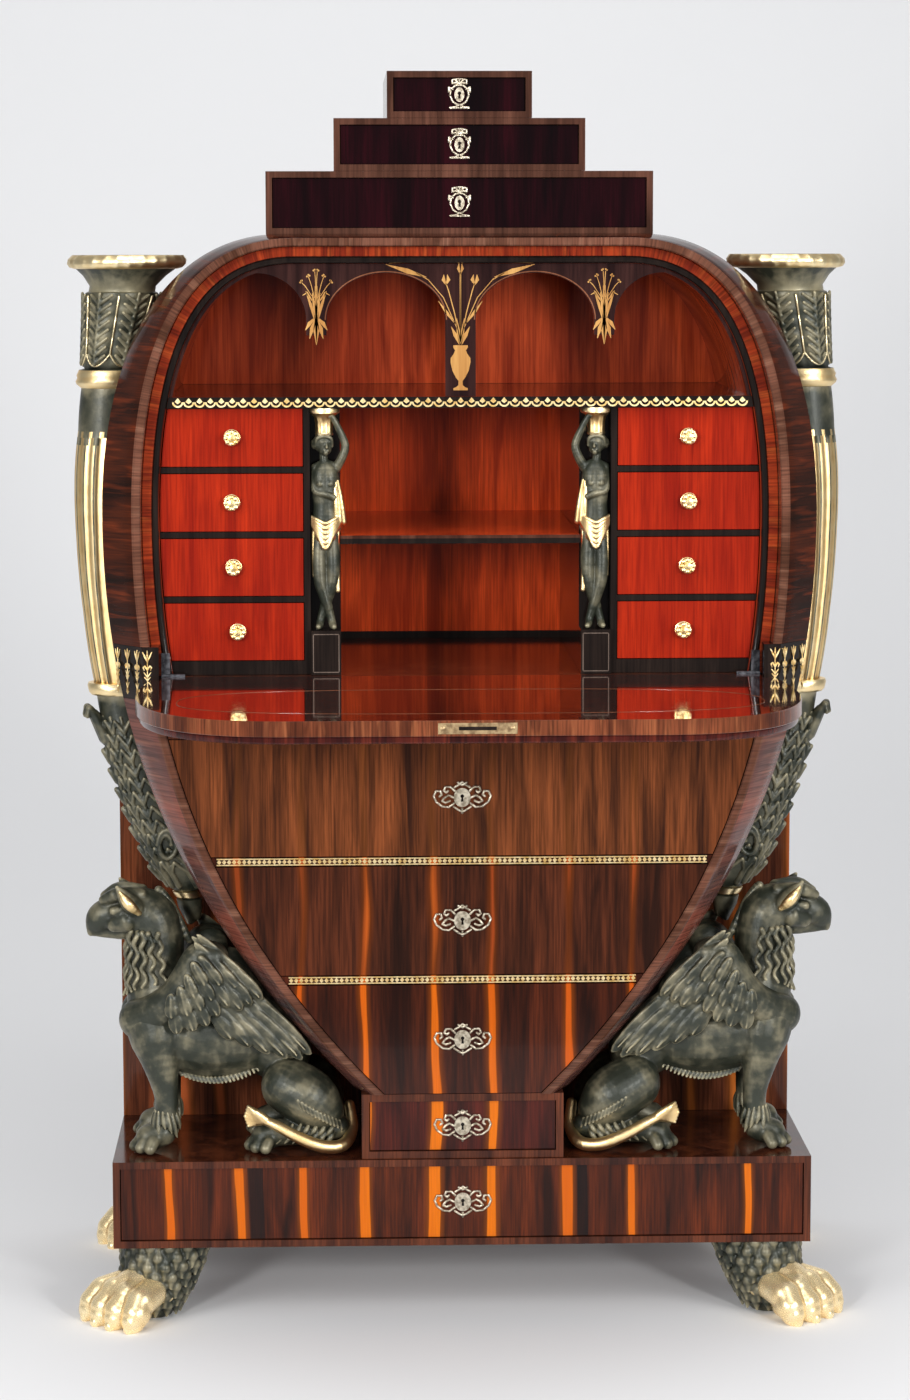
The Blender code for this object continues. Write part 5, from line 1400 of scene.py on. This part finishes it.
# Forms of the right-hand figure: place to the side (away from the niche) and ahead in millimetres, height
# in shares of the figure, and radius in millimetres
FIGURE_FORMS = (
    ((7, 0, 0.46, 10.2), (7.5, 4, 0.25, 8.2), (1.5, 3, 0.15, 7.0), (-6, 1, 0.05, 5.0), (-8, 6, 0.020, 4.6),
     (-9.5, 12, 0.014, 3.4)),
    ((-7, 0, 0.46, 10.2), (-8.5, 3, 0.25, 8.2), (-2.5, 1, 0.15, 7.0), (6, -1, 0.05, 5.0),
     (7.5, 4, 0.020, 4.6), (9, 11, 0.014, 3.4)),
    ((-7.5, 0, 0.46, 11.0), (7.5, 0, 0.46, 11.0)),
    ((-3, 0, 0.48, 13.5), (-2, 1, 0.56, 12.6), (-3, 1, 0.64, 13.4), (-3, 1, 0.70, 12.4), (-2, 0, 0.735, 8)),
    ((3, 0, 0.48, 13.5), (2, 1, 0.56, 12.6), (3, 1, 0.64, 13.4), (3, 1, 0.70, 12.4), (2, 0, 0.735, 8)),
    ((-5.8, 9.8, 0.664, 5.2), (-5.6, 10.2, 0.660, 5.2)), ((5.8, 9.8, 0.664, 5.2), (5.6, 10.2, 0.660, 5.2)),
    ((-12, 0, 0.728, 6.4), (0, 0, 0.742, 6.6), (11.5, 0, 0.728, 6.0)),
    ((1, 0, 0.74, 5.4), (2, 0, 0.79, 5.0)),
    ((0, 2, 0.815, 7.8), (1, 1.5, 0.842, 9.4)),
    ((-1.5, 8.8, 0.842, 1.7), (-2, 11.2, 0.824, 1.9)), ((-3.5, 8.8, 0.809, 1.4), (0.5, 9.2, 0.809, 1.4)),
    ((-1, 7.6, 0.797, 3.2), (-1, 8.0, 0.799, 3.2)), ((-6, 7.2, 0.846, 1.3), (3.5, 8.8, 0.846, 1.3)),
    ((-7.5, 3.5, 0.830, 2.8), (-6.5, 6.5, 0.862, 2.8), (1, 8, 0.872, 2.8), (8.5, 6.5, 0.862, 2.8),
     (10.5, 3, 0.830, 2.8)),
    ((3, -2, 0.838, 10.8), (4, -2, 0.842, 10.8)), ((11.8, -1, 0.840, 5.6), (12.0, -1, 0.834, 5.6)),
    ((-13, 0, 0.73, 6.0), (-20, 3, 0.775, 5.6), (-24, 4, 0.83, 5.0), (-17, 5, 0.90, 4.4),
     (-9.5, 7, 0.955, 3.6), (-5.5, 9, 0.966, 3.2)),
    ((12, 1, 0.725, 5.4), (12.4, 4, 0.665, 5.2), (10.5, 9, 0.625, 4.8), (-2, 13.5, 0.612, 4.0),
     (-10, 13.5, 0.60, 3.6)))
SWAG_FOLDS = 6
SWAG_FORMS = tuple(
    ((-16.4, 8.5, 0.512 - 0.007 * k, 2.0), (-9, 14.2, 0.498 - 0.014 * k, 2.3),
     (0, 16.4, 0.482 - 0.0225 * k, 2.5), (9, 14.2, 0.498 - 0.014 * k, 2.3),
     (16.4, 8.5, 0.512 - 0.007 * k, 2.0)) for k in range(SWAG_FOLDS))
DRAPERY_FORMS = SWAG_FORMS + (
    ((-8, 2.5, 0.475, 10.4), (8, 2.5, 0.475, 10.4)), ((-4, 5, 0.42, 9.2), (4, 5, 0.42, 9.2)),
    ((13.8, 5, 0.49, 3.2), (14.3, 5, 0.36, 3.0), (13.2, 5, 0.245, 3.4)),
    ((11, 7, 0.46, 2.6), (11.5, 7, 0.36, 2.4), (11, 7, 0.27, 2.6)),
    ((-14.5, 4, 0.47, 2.8), (-14, 4, 0.283, 3.0), (-14.5, 4, 0.176, 3.2)),
    ((-14.5, 6, 0.670, 2.6), (-19, 6, 0.57, 3.6), (-21.5, 4, 0.486, 3.8)),
    ((-12.0, 8, 0.665, 2.6), (-15.5, 8, 0.57, 3.4), (-17.0, 7, 0.490, 3.6)),
    ((-11.5, 10, 0.64, 2.2), (-12.5, 10, 0.57, 3.0), (-13.0, 9, 0.515, 3.2)))


def figure_point(aside, ahead, share):
    return Vector((FIGURE_X + aside / 1000, FRONT + FIGURE_DEPTH - ahead / 1000,
                   FIGURE_FOOT + share * FIGURE_TALL))


def figure(chains):
    shape = bmesh.new()
    for forms in chains:
        forms = eased(forms) if len(forms) > 2 else forms
        limb(shape, [figure_point(*form[:3]) for form in forms], [form[3] / 1000 for form in forms])
    carved = carve(shape, 0.0009, 2)
    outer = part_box("pilaster_right")[1].x - 0.0004
    behind = FRONT + NEST_FRONT + 0.042 - 0.0004
    for vert in carved.verts:
        vert.co.x = min(vert.co.x, outer)
        vert.co.y = min(vert.co.y, behind) if vert.co.x > NICHE_HALF else vert.co.y
        vert.co.z = min(max(vert.co.z, FIGURE_FOOT), FIGURE_FOOT + FIGURE_TALL)
    return carved


# Capital: height share and radius in millimetres up the fluted drum to its round top
CAPITAL_PROFILE = ((0.872, 8.0), (0.876, 10.4), (0.884, 11.0), (0.890, 10.2), (0.935, 10.6), (0.958, 12.0),
                   (0.970, 15.0), (0.976, 18.0), (0.980, 18.8), (0.994, 18.8), (0.999, 17.6))


def capital():
    rings = []
    for share, radius in CAPITAL_PROFILE:
        ring = []
        for i in range(48):
            turn = math.tau * i / 48
            reach = radius - (0.6 if i % 4 == 0 and 0.886 < share < 0.965 else 0)
            ring.append(figure_point(1 + reach * math.cos(turn), min(reach, 17) * math.sin(turn), share))
        rings.append(ring)
    return loft(rings)


add_pair("caryatid_figure", figure(FIGURE_FORMS), PATINA, "caryatid")
add_pair("caryatid_drapery", figure(DRAPERY_FORMS), CARVED_GILT)
add_pair("caryatid_capital", capital(), CARVED_GILT, sharp=40)


# Gilt and brass trim of the nest and the case: cut bands on the rails and the gallery shelf, palmettes
# and stars on the hinge blocks, rosette knobs, pierced escutcheons, and the plates of the lock.

def disc(middle, high, reach, rise, count=24):
    """An ellipse as an (x, z) outline."""
    turns = [math.tau * i / count for i in range(count)]
    return [(middle + reach * math.cos(a), high + rise * math.sin(a)) for a in turns]


CHAIN_STEP = 0.0129
BEAD_STEP = 0.0060


def chain_band():
    """Lozenges over half-round loops, cut from sheet, along the gallery shelf's edge."""
    low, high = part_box("gallery_shelf")[0].z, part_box("gallery_shelf")[1].z
    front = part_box("gallery_shelf")[0].y - FRONT - 0.0010
    middle = (low + high) / 2
    half = at_height(inward(FRONT_LINE, 0.0299), middle).x - 0.006
    count = round(2 * half / CHAIN_STEP)
    shape = bmesh.new()
    for i in range(count):
        x = -half + (i + 0.5) * 2 * half / count
        slab([(x - 0.0036, middle + 0.0014), (x, middle - 0.0012), (x + 0.0036, middle + 0.0014),
              (x, middle + 0.0058)],
             front, 0.0010, shape)
        outer = arc(x, middle + 0.0008, 0.0066, 0.0064, 180, 360, 8)
        inner = arc(x, middle + 0.0008, 0.0046, 0.0044, 360, 180, 8)
        slab(outer + inner, front, 0.0010, shape)
    return shape


def beaded_band(rail):
    """Two thin lines with a row of lozenges between them."""
    low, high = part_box(rail)[0].z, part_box(rail)[1].z
    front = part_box(rail)[0].y - FRONT - 0.0009
    middle = (low + high) / 2
    half = at_height(inward(FRONT_LINE, FILLET), low).x - 0.0025
    shape = bmesh.new()
    for line in (-0.0036, 0.0036):
        slab(rectangle(-half, half, middle + line - 0.0007, middle + line + 0.0007), front, 0.0008, shape)
    count = round(2 * half / BEAD_STEP)
    for i in range(count):
        x = -half + (i + 0.5) * 2 * half / count
        slab([(x - 0.0027, middle), (x, middle - 0.0031), (x + 0.0027, middle), (x, middle + 0.0031)],
             front, 0.0008, shape)
    return shape


BRIGHT_GILT = plain_metal("bright_gilding", (0.80, 0.52, 0.18), (1.0, 0.80, 0.44), 0.20, 120)
add_piece("gallery_chain", chain_band(), BRIGHT_GILT, "carcase", sharp=20)
for rail in ("rail_lower", "rail_upper"):
    add_piece(f"{rail}_band", beaded_band(rail), BRIGHT_GILT, "carcase", sharp=20)


def splay_frame(share, z):
    """A place on the right-hand splay, and its directions across, up and out."""
    face, outer = at_height(FRONT_LINE, z), at_height(OUTER_LINE, z)
    across = (deep(outer, SPLAY_DEPTH) - deep(face, 0)).normalized()
    up = Vector((0, 0, 1))
    return deep(face.lerp(outer, share), share * SPLAY_DEPTH), across, up, across.cross(up)


# Strokes of a palmette, as (across in half widths, down in heights, thickness in millimetres)
PALMETTE = (
    ((0, 0.0, 0.5), (0, 0.08, 1.3), (0, 0.20, 0.9)), ((0.95, 0.03, 0.5), (0.55, 0.12, 1.3), (0, 0.24, 0.8)),
    ((0, 0.22, 0.7), (0, 0.97, 0.6)),
    ((0, 0.42, 1.0), (0.5, 0.33, 1.1), (0.85, 0.36, 0.9), (0.65, 0.42, 0.6)),
    ((0, 0.57, 1.2), (0.7, 0.47, 0.5)), ((0, 0.64, 1.2), (0.6, 0.57, 0.5)),
    ((0, 0.82, 1.2), (0.6, 0.72, 0.4)), ((0, 0.80, 1.3), (0, 0.89, 1.6)),
    ((0, 0.95, 1.0), (0.45, 0.92, 0.5)))


def palmette(shape, place, half, height):
    origin, across, up, out = place
    for stroke in PALMETTE:
        for side in (-1, 1):
            points = [origin + side * half * a * across - height * d * up + CLEAR * out
                      for a, d, _ in stroke]
            limb(shape, points, [thick / 1000 for _, _, thick in stroke])


def star(shape, place, reach):
    origin, across, up, out = place
    turns = [math.tau * i / 16 for i in range(16)]
    radii = [reach if i % 2 == 0 else 0.42 * reach for i in range(16)]
    points = [origin + r * (math.cos(a) * across + math.sin(a) * up) + 0.0008 * out
              for a, r in zip(turns, radii)]
    face = shape.faces.new([shape.verts.new(point) for point in points])
    grown = bmesh.ops.extrude_face_region(shape, geom=[face])["geom"]
    bmesh.ops.translate(shape, verts=new_verts(grown), vec=-0.0007 * out)


def hinge_block_gilding():
    shape = bmesh.new()
    top = HINGE_BLOCK_TOP - 0.004
    for share in (0.16, 0.50, 0.84):
        palmette(shape, splay_frame(share, top), 0.0050, 0.055)
    origin, _, up, _ = splay_frame(0.0, top)
    palmette(shape, (origin - Vector((0.0065, 0.0002, 0)), Vector((1, 0, 0)), up, Vector((0, -1, 0))),
             0.0058, 0.055)
    star(shape, splay_frame(0.32, DECK_TOP - 0.021), 0.0115)
    return shape


add_pair("palmettes", hinge_block_gilding(), BRIGHT_GILT, sharp=50)


# Knob: radius and how far it stands out, in shares of the CAD knob's radius and length
ROSETTE = ((1.02, 0.0), (1.16, 0.05), (1.16, 0.16), (0.62, 0.30), (0.60, 0.60), (1.06, 0.70), (1.14, 0.84),
           (1.02, 0.98), (0.55, 1.02), (0.50, 1.10), (0.0001, 1.16))


def knob(name):
    """A gilt cover over a drawer's knob, with a rosette of petals round its button."""
    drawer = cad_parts[name]
    face = FRONT + 0.040
    stand = [p for p in (drawer.matrix_world @ v.co for v in drawer.data.vertices) if p.y < face - 0.001]
    middle = sum(stand, Vector()) / len(stand)
    radius = max(abs(p.x - middle.x) for p in stand)
    length = face - min(p.y for p in stand)
    rings = []
    for wide, out in ROSETTE:
        turns = [math.tau * i / 24 for i in range(24)]
        rings.append([Vector((middle.x + wide * radius * math.cos(a), face - out * length - 0.0001,
                              middle.z + wide * radius * math.sin(a))) for a in turns])
    shape = loft(rings)
    for i in range(8):
        turn = math.tau * i / 8
        spot = Vector((middle.x + 0.80 * radius * math.cos(turn), face - 1.00 * length,
                       middle.z + 0.80 * radius * math.sin(turn)))
        ball(shape, spot, (0.30 * radius, 0.0010, 0.30 * radius))
    return shape


for name in SMALL_DRAWERS:
    add_piece(f"{name}_knob", knob(name), BRIGHT_GILT, name, sharp=40)


PALE_BRASS = plain_metal("pale_brass", (0.30, 0.25, 0.18), (0.74, 0.66, 0.52), 0.22, 220)
# Right half of a wide escutcheon, and of a step's urn and crown: strokes across and up in millimetres
WIDE_SCROLLS = (
    ((10, -7), (16, -11.5), (24, -10.5), (31, -5), (34, 2), (31, 8), (26, 8), (24.5, 3.5), (27, 1.5)),
    ((9, 8), (14, 13), (20, 13), (22, 8.5), (19, 6), (17, 8)),
    ((10.5, 0), (16, 3), (21, 0), (24, -4), (20, -6), (15, -4)), ((0, 19), (4, 15.5), (9, 12.5)),
    ((0, 15), (5, 18)), ((0, -17), (5, -14.5), (10, -11)), ((0, -13.5), (0, -18.5)))
URN_SCROLLS = (
    ((0, 11), (5, 10.5), (10, 6), (11, -1), (8, -8), (3, -11.5), (0, -12)),
    ((0, -12), (5, -14.5), (11, -15)), ((0, -15.5), (11, -15.5)),
    ((0, 12), (4.5, 14), (8.5, 13), (8.5, 17)), ((0, 12), (0, 18.5)), ((0, 12), (4.5, 17.5)),
    ((8, 6), (12.5, 8.5), (12.5, 3)), ((0, 18.5), (5, 18), (8.5, 17)))


def escutcheon(name, strokes, plate):
    """A pierced plate of scrolls on the middle of a drawer front, with a keyhole."""
    low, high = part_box(name)
    depth = low.y - FRONT
    middle = Vector(((low.x + high.x) / 2, FRONT + depth - 0.0006, (low.z + high.z) / 2))
    shape = slab(disc(middle.x, middle.z, *plate), depth - 0.0014, 0.0013)
    for stroke in strokes:
        for side in (-1, 1):
            points = [middle + Vector((side * a / 1000, 0, up / 1000)) for a, up in stroke]
            limb(shape, points, [0.0014] * len(points))
    metal = set(shape.faces)
    slab(disc(middle.x, middle.z + 0.0018, 0.0022, 0.0022, 12), depth - 0.0018, 0.0006, shape)
    slab([(middle.x - 0.0016, middle.z - 0.0048), (middle.x + 0.0016, middle.z - 0.0048),
          (middle.x + 0.0008, middle.z + 0.001), (middle.x - 0.0008, middle.z + 0.001)], depth - 0.0018,
          0.0006, shape)
    for face in shape.faces:
        face.material_index = 0 if face in metal else 1
    return shape


WIDE_DRAWERS = ("lower_drawer_top", "lower_drawer_middle", "lower_drawer_bottom", "block_drawer",
                "plinth_drawer")
STEP_DRAWERS = [f"step_drawer_{step}" for step in STEPS]
for names, strokes, plate in ((WIDE_DRAWERS, WIDE_SCROLLS, (0.0100, 0.0115)),
                              (STEP_DRAWERS, URN_SCROLLS, (0.0058, 0.0085))):
    for name in names:
        add_piece(f"{name}_escutcheon", escutcheon(name, strokes, plate), [PALE_BRASS, EBONY], name,
                  sharp=50)


def flap_plate():
    """The lock's plate on the flap's front edge, with a slot for the bolt and two screws."""
    reach = max(s for _, s in flap_outline(0))
    shape = bmesh.new()
    rings = [[Vector((x, -reach + out, -drop))
              for x, drop in ((-h, 0.0026), (h, 0.0026), (h, 0.0144), (-h, 0.0144))]
             for h, out in ((0.042, 0.0029), (0.042, -0.0003), (0.0415, -0.0006))]
    loft(rings, shape)
    for side in (-1, 1):
        ball(shape, Vector((side * 0.037, -reach - 0.0004, -0.0085)), (0.0026, 0.0009, 0.0026))
    metal = set(shape.faces)
    bolt = [[Vector((x, -reach + out, -drop))
             for x, drop in ((-0.020, 0.0066), (0.020, 0.0066), (0.020, 0.0104), (-0.020, 0.0104))]
            for out in (0.0, -0.0008)]
    loft(bolt, shape)
    for face in shape.faces:
        face.material_index = 0 if face in metal else 1
    return lay_open(shape)


add_piece("flap_lock_plate", flap_plate(), [LOCK_BRASS, EBONY], "flap", ["flap_lock"], sharp=30)


def flap_line():
    """The oval line let into the writing face."""
    reach = max(s for _, s in flap_outline(0))
    rings = []
    for i in range(97):
        turn = math.tau * i / 96
        across, down = math.cos(turn), math.sin(turn)
        lean = Vector((math.copysign(abs(across) ** 0.6, across), math.copysign(abs(down) ** 0.8, down)))
        ring = []
        for grow_by, rise in ((0.0, 0.0001), (0.0, 0.0003), (0.0011, 0.0003), (0.0011, 0.0001)):
            ring.append(Vector(((0.325 + grow_by) * lean.x,
                                -0.60 * reach - (0.26 * reach + grow_by) * lean.y, rise)))
        rings.append(ring)
    return lay_open(loft(rings, caps=False))


BOXWOOD = plain_veneer("boxwood", (0.42, 0.20, 0.055), (0.70, 0.40, 0.13), (0.30, 0.12, 0.03),
                       roughness=0.3)
LINE_WOOD = plain_veneer("line_wood", (0.16, 0.055, 0.025), (0.26, 0.10, 0.05), (0.10, 0.03, 0.015),
                         roughness=0.2)
add_piece("flap_inlay", flap_line(), LINE_WOOD, "flap", sharp=30)
LINE_WIDTH = 0.0010


def pedestal_line():
    """A thin line let into the front of the right-hand pedestal, along its edges."""
    low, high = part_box("pilaster_right")
    left, right, foot, top = low.x + 0.002, high.x - 0.002, low.z + 0.003, FIGURE_FOOT - 0.004
    shape = bmesh.new()
    for sides in ((left, right, foot, foot + LINE_WIDTH), (left, right, top - LINE_WIDTH, top),
                  (left, left + LINE_WIDTH, foot, top), (right - LINE_WIDTH, right, foot, top)):
        slab(rectangle(*sides), low.y - FRONT - CLEAR, 0.0006, shape)
    return shape


PALE_LINE = plain_veneer("pale_line", (0.11, 0.08, 0.065), (0.20, 0.15, 0.12), (0.07, 0.05, 0.04),
                         roughness=0.2)
add_pair("pedestal_line", pedestal_line(), PALE_LINE, sharp=30)


# Marquetry of boxwood on the arcade: a vase of tulips and wheat on the middle pilaster, and a hanging
# bunch on each pendant, laid flush in the dark veneer, with a light line round the arches.

INLAY_FRONT = ARCADE_FRONT - CLEAR
INLAY_THICK = 0.00025


def stroke(shape, points, widths, axis=0.0):
    """A ribbon along a path, from (x, height over the shelf) and half widths in millimetres."""
    path = [Vector((axis + x / 1000, SHELF_TOP + h / 1000)) for x, h in points]
    left, right = [], []
    for i, (spot, width) in enumerate(zip(path, widths)):
        along = (path[min(i + 1, len(path) - 1)] - path[max(i - 1, 0)]).normalized()
        side = Vector((-along.y, along.x)) * width / 1000
        left.append(tuple(spot + side))
        right.append(tuple(spot - side))
    slab(left + right[::-1], INLAY_FRONT, INLAY_THICK, shape)


VASE_OUTLINE = ((8.5, 7), (8.5, 9.5), (5.5, 10.5), (2.6, 13), (2.4, 18), (5.5, 22), (9.6, 30), (11.8, 40),
                (11.6, 45), (8.0, 50), (6.4, 54), (8.6, 57.5), (8.6, 60))
# Strokes of the vase's flowers and of a pendant: points and half widths in millimetres; each is mirrored
VASE_STROKES = (
    (((1, 61), (6, 72), (11, 82)), (0.8, 2.4, 0.2)), (((0.5, 61), (2.5, 76), (4.5, 92)), (0.8, 2.0, 0.2)),
    (((0, 64), (7, 98), (14, 124), (17, 133)), (0.6, 0.6, 0.6, 0.5)),
    (((17, 131), (14, 137), (15.5, 143)), (0.6, 2.2, 0.2)),
    (((17, 131), (20, 137), (19.5, 143)), (0.6, 2.2, 0.2)),
    (((0, 64), (0.2, 110), (0.4, 146)), (0.6, 0.6, 0.5)),
    (((0.4, 144), (2.4, 150), (1.6, 156)), (0.5, 1.7, 0.2)),
    (((5, 84), (16, 98), (26, 112)), (0.3, 1.8, 0.2)),
    (((4, 80), (20, 116), (38, 137), (52, 145)), (0.5, 0.5, 0.5, 0.5)),
    (((40, 140), (62, 147), (88, 155)), (0.3, 3.0, 0.2)))
PENDANT_STROKES = (
    (((0, 92), (1.2, 78), (0.2, 61)), (1.4, 2.4, 0.2)), (((1, 90), (5, 80), (8, 68)), (1.2, 2.6, 0.3)),
    (((2, 92), (8, 86), (13, 78)), (1.0, 2.4, 0.3)), (((0.6, 90), (2.2, 106), (4.6, 122)), (1.2, 1.8, 0.3)),
    (((2.2, 92), (6.5, 108), (12, 124)), (1.0, 1.7, 0.3)),
    (((0.4, 92), (0.6, 112), (1.2, 130)), (0.8, 1.1, 0.3)),
    (((4, 112), (11, 122), (16, 119)), (0.6, 1.6, 0.3)), (((2, 116), (6, 132), (9, 141)), (0.4, 0.45, 0.4)),
    (((5, 118), (13, 130), (17, 134)), (0.4, 0.45, 0.4)),
    (((0.3, 124), (0.8, 138), (1.5, 147)), (0.4, 0.45, 0.4)))
BERRIES = ((9, 143), (10.6, 141), (7.6, 142), (17.5, 136), (18.8, 134), (16.6, 136.4), (1.6, 149),
           (3.0, 148))


def marquetry():
    shape = bmesh.new()
    vase = [(x / 1000, SHELF_TOP + h / 1000) for x, h in VASE_OUTLINE]
    slab(both_halves(vase), INLAY_FRONT, INLAY_THICK, shape)
    for side in (-1, 1):
        for points, widths in VASE_STROKES:
            stroke(shape, [(side * x, h) for x, h in points], widths)
        for hand in (-1, 1):
            for points, widths in PENDANT_STROKES:
                stroke(shape, [(hand * x, h) for x, h in points], widths, side * PENDANT_X)
            for x, h in BERRIES:
                slab(disc(side * PENDANT_X + hand * x / 1000, SHELF_TOP + h / 1000, 0.0011, 0.0011, 8),
                     INLAY_FRONT, INLAY_THICK, shape)
    return shape


add_piece("arcade_marquetry", marquetry(), BOXWOOD, "carcase", sharp=20)


def arch_lines():
    """A light line along the edge of each wide arch."""
    shape = bmesh.new()
    for side in (-1, 1):
        middle = side * (PILASTER_HALF + INNER_SPAN / 2)
        rise = ARCADE_CROWN - ARCADE_SPRING
        outer = arc(middle, ARCADE_SPRING, INNER_SPAN / 2 + 0.0022, rise + 0.0022, 180, 0, 36)
        inner = arc(middle, ARCADE_SPRING, INNER_SPAN / 2 + 0.0008, rise + 0.0008, 0, 180, 36)
        slab(outer + inner, INLAY_FRONT, INLAY_THICK, shape)
    return shape


add_piece("arch_lines", arch_lines(), LINE_WOOD, "carcase", sharp=20)
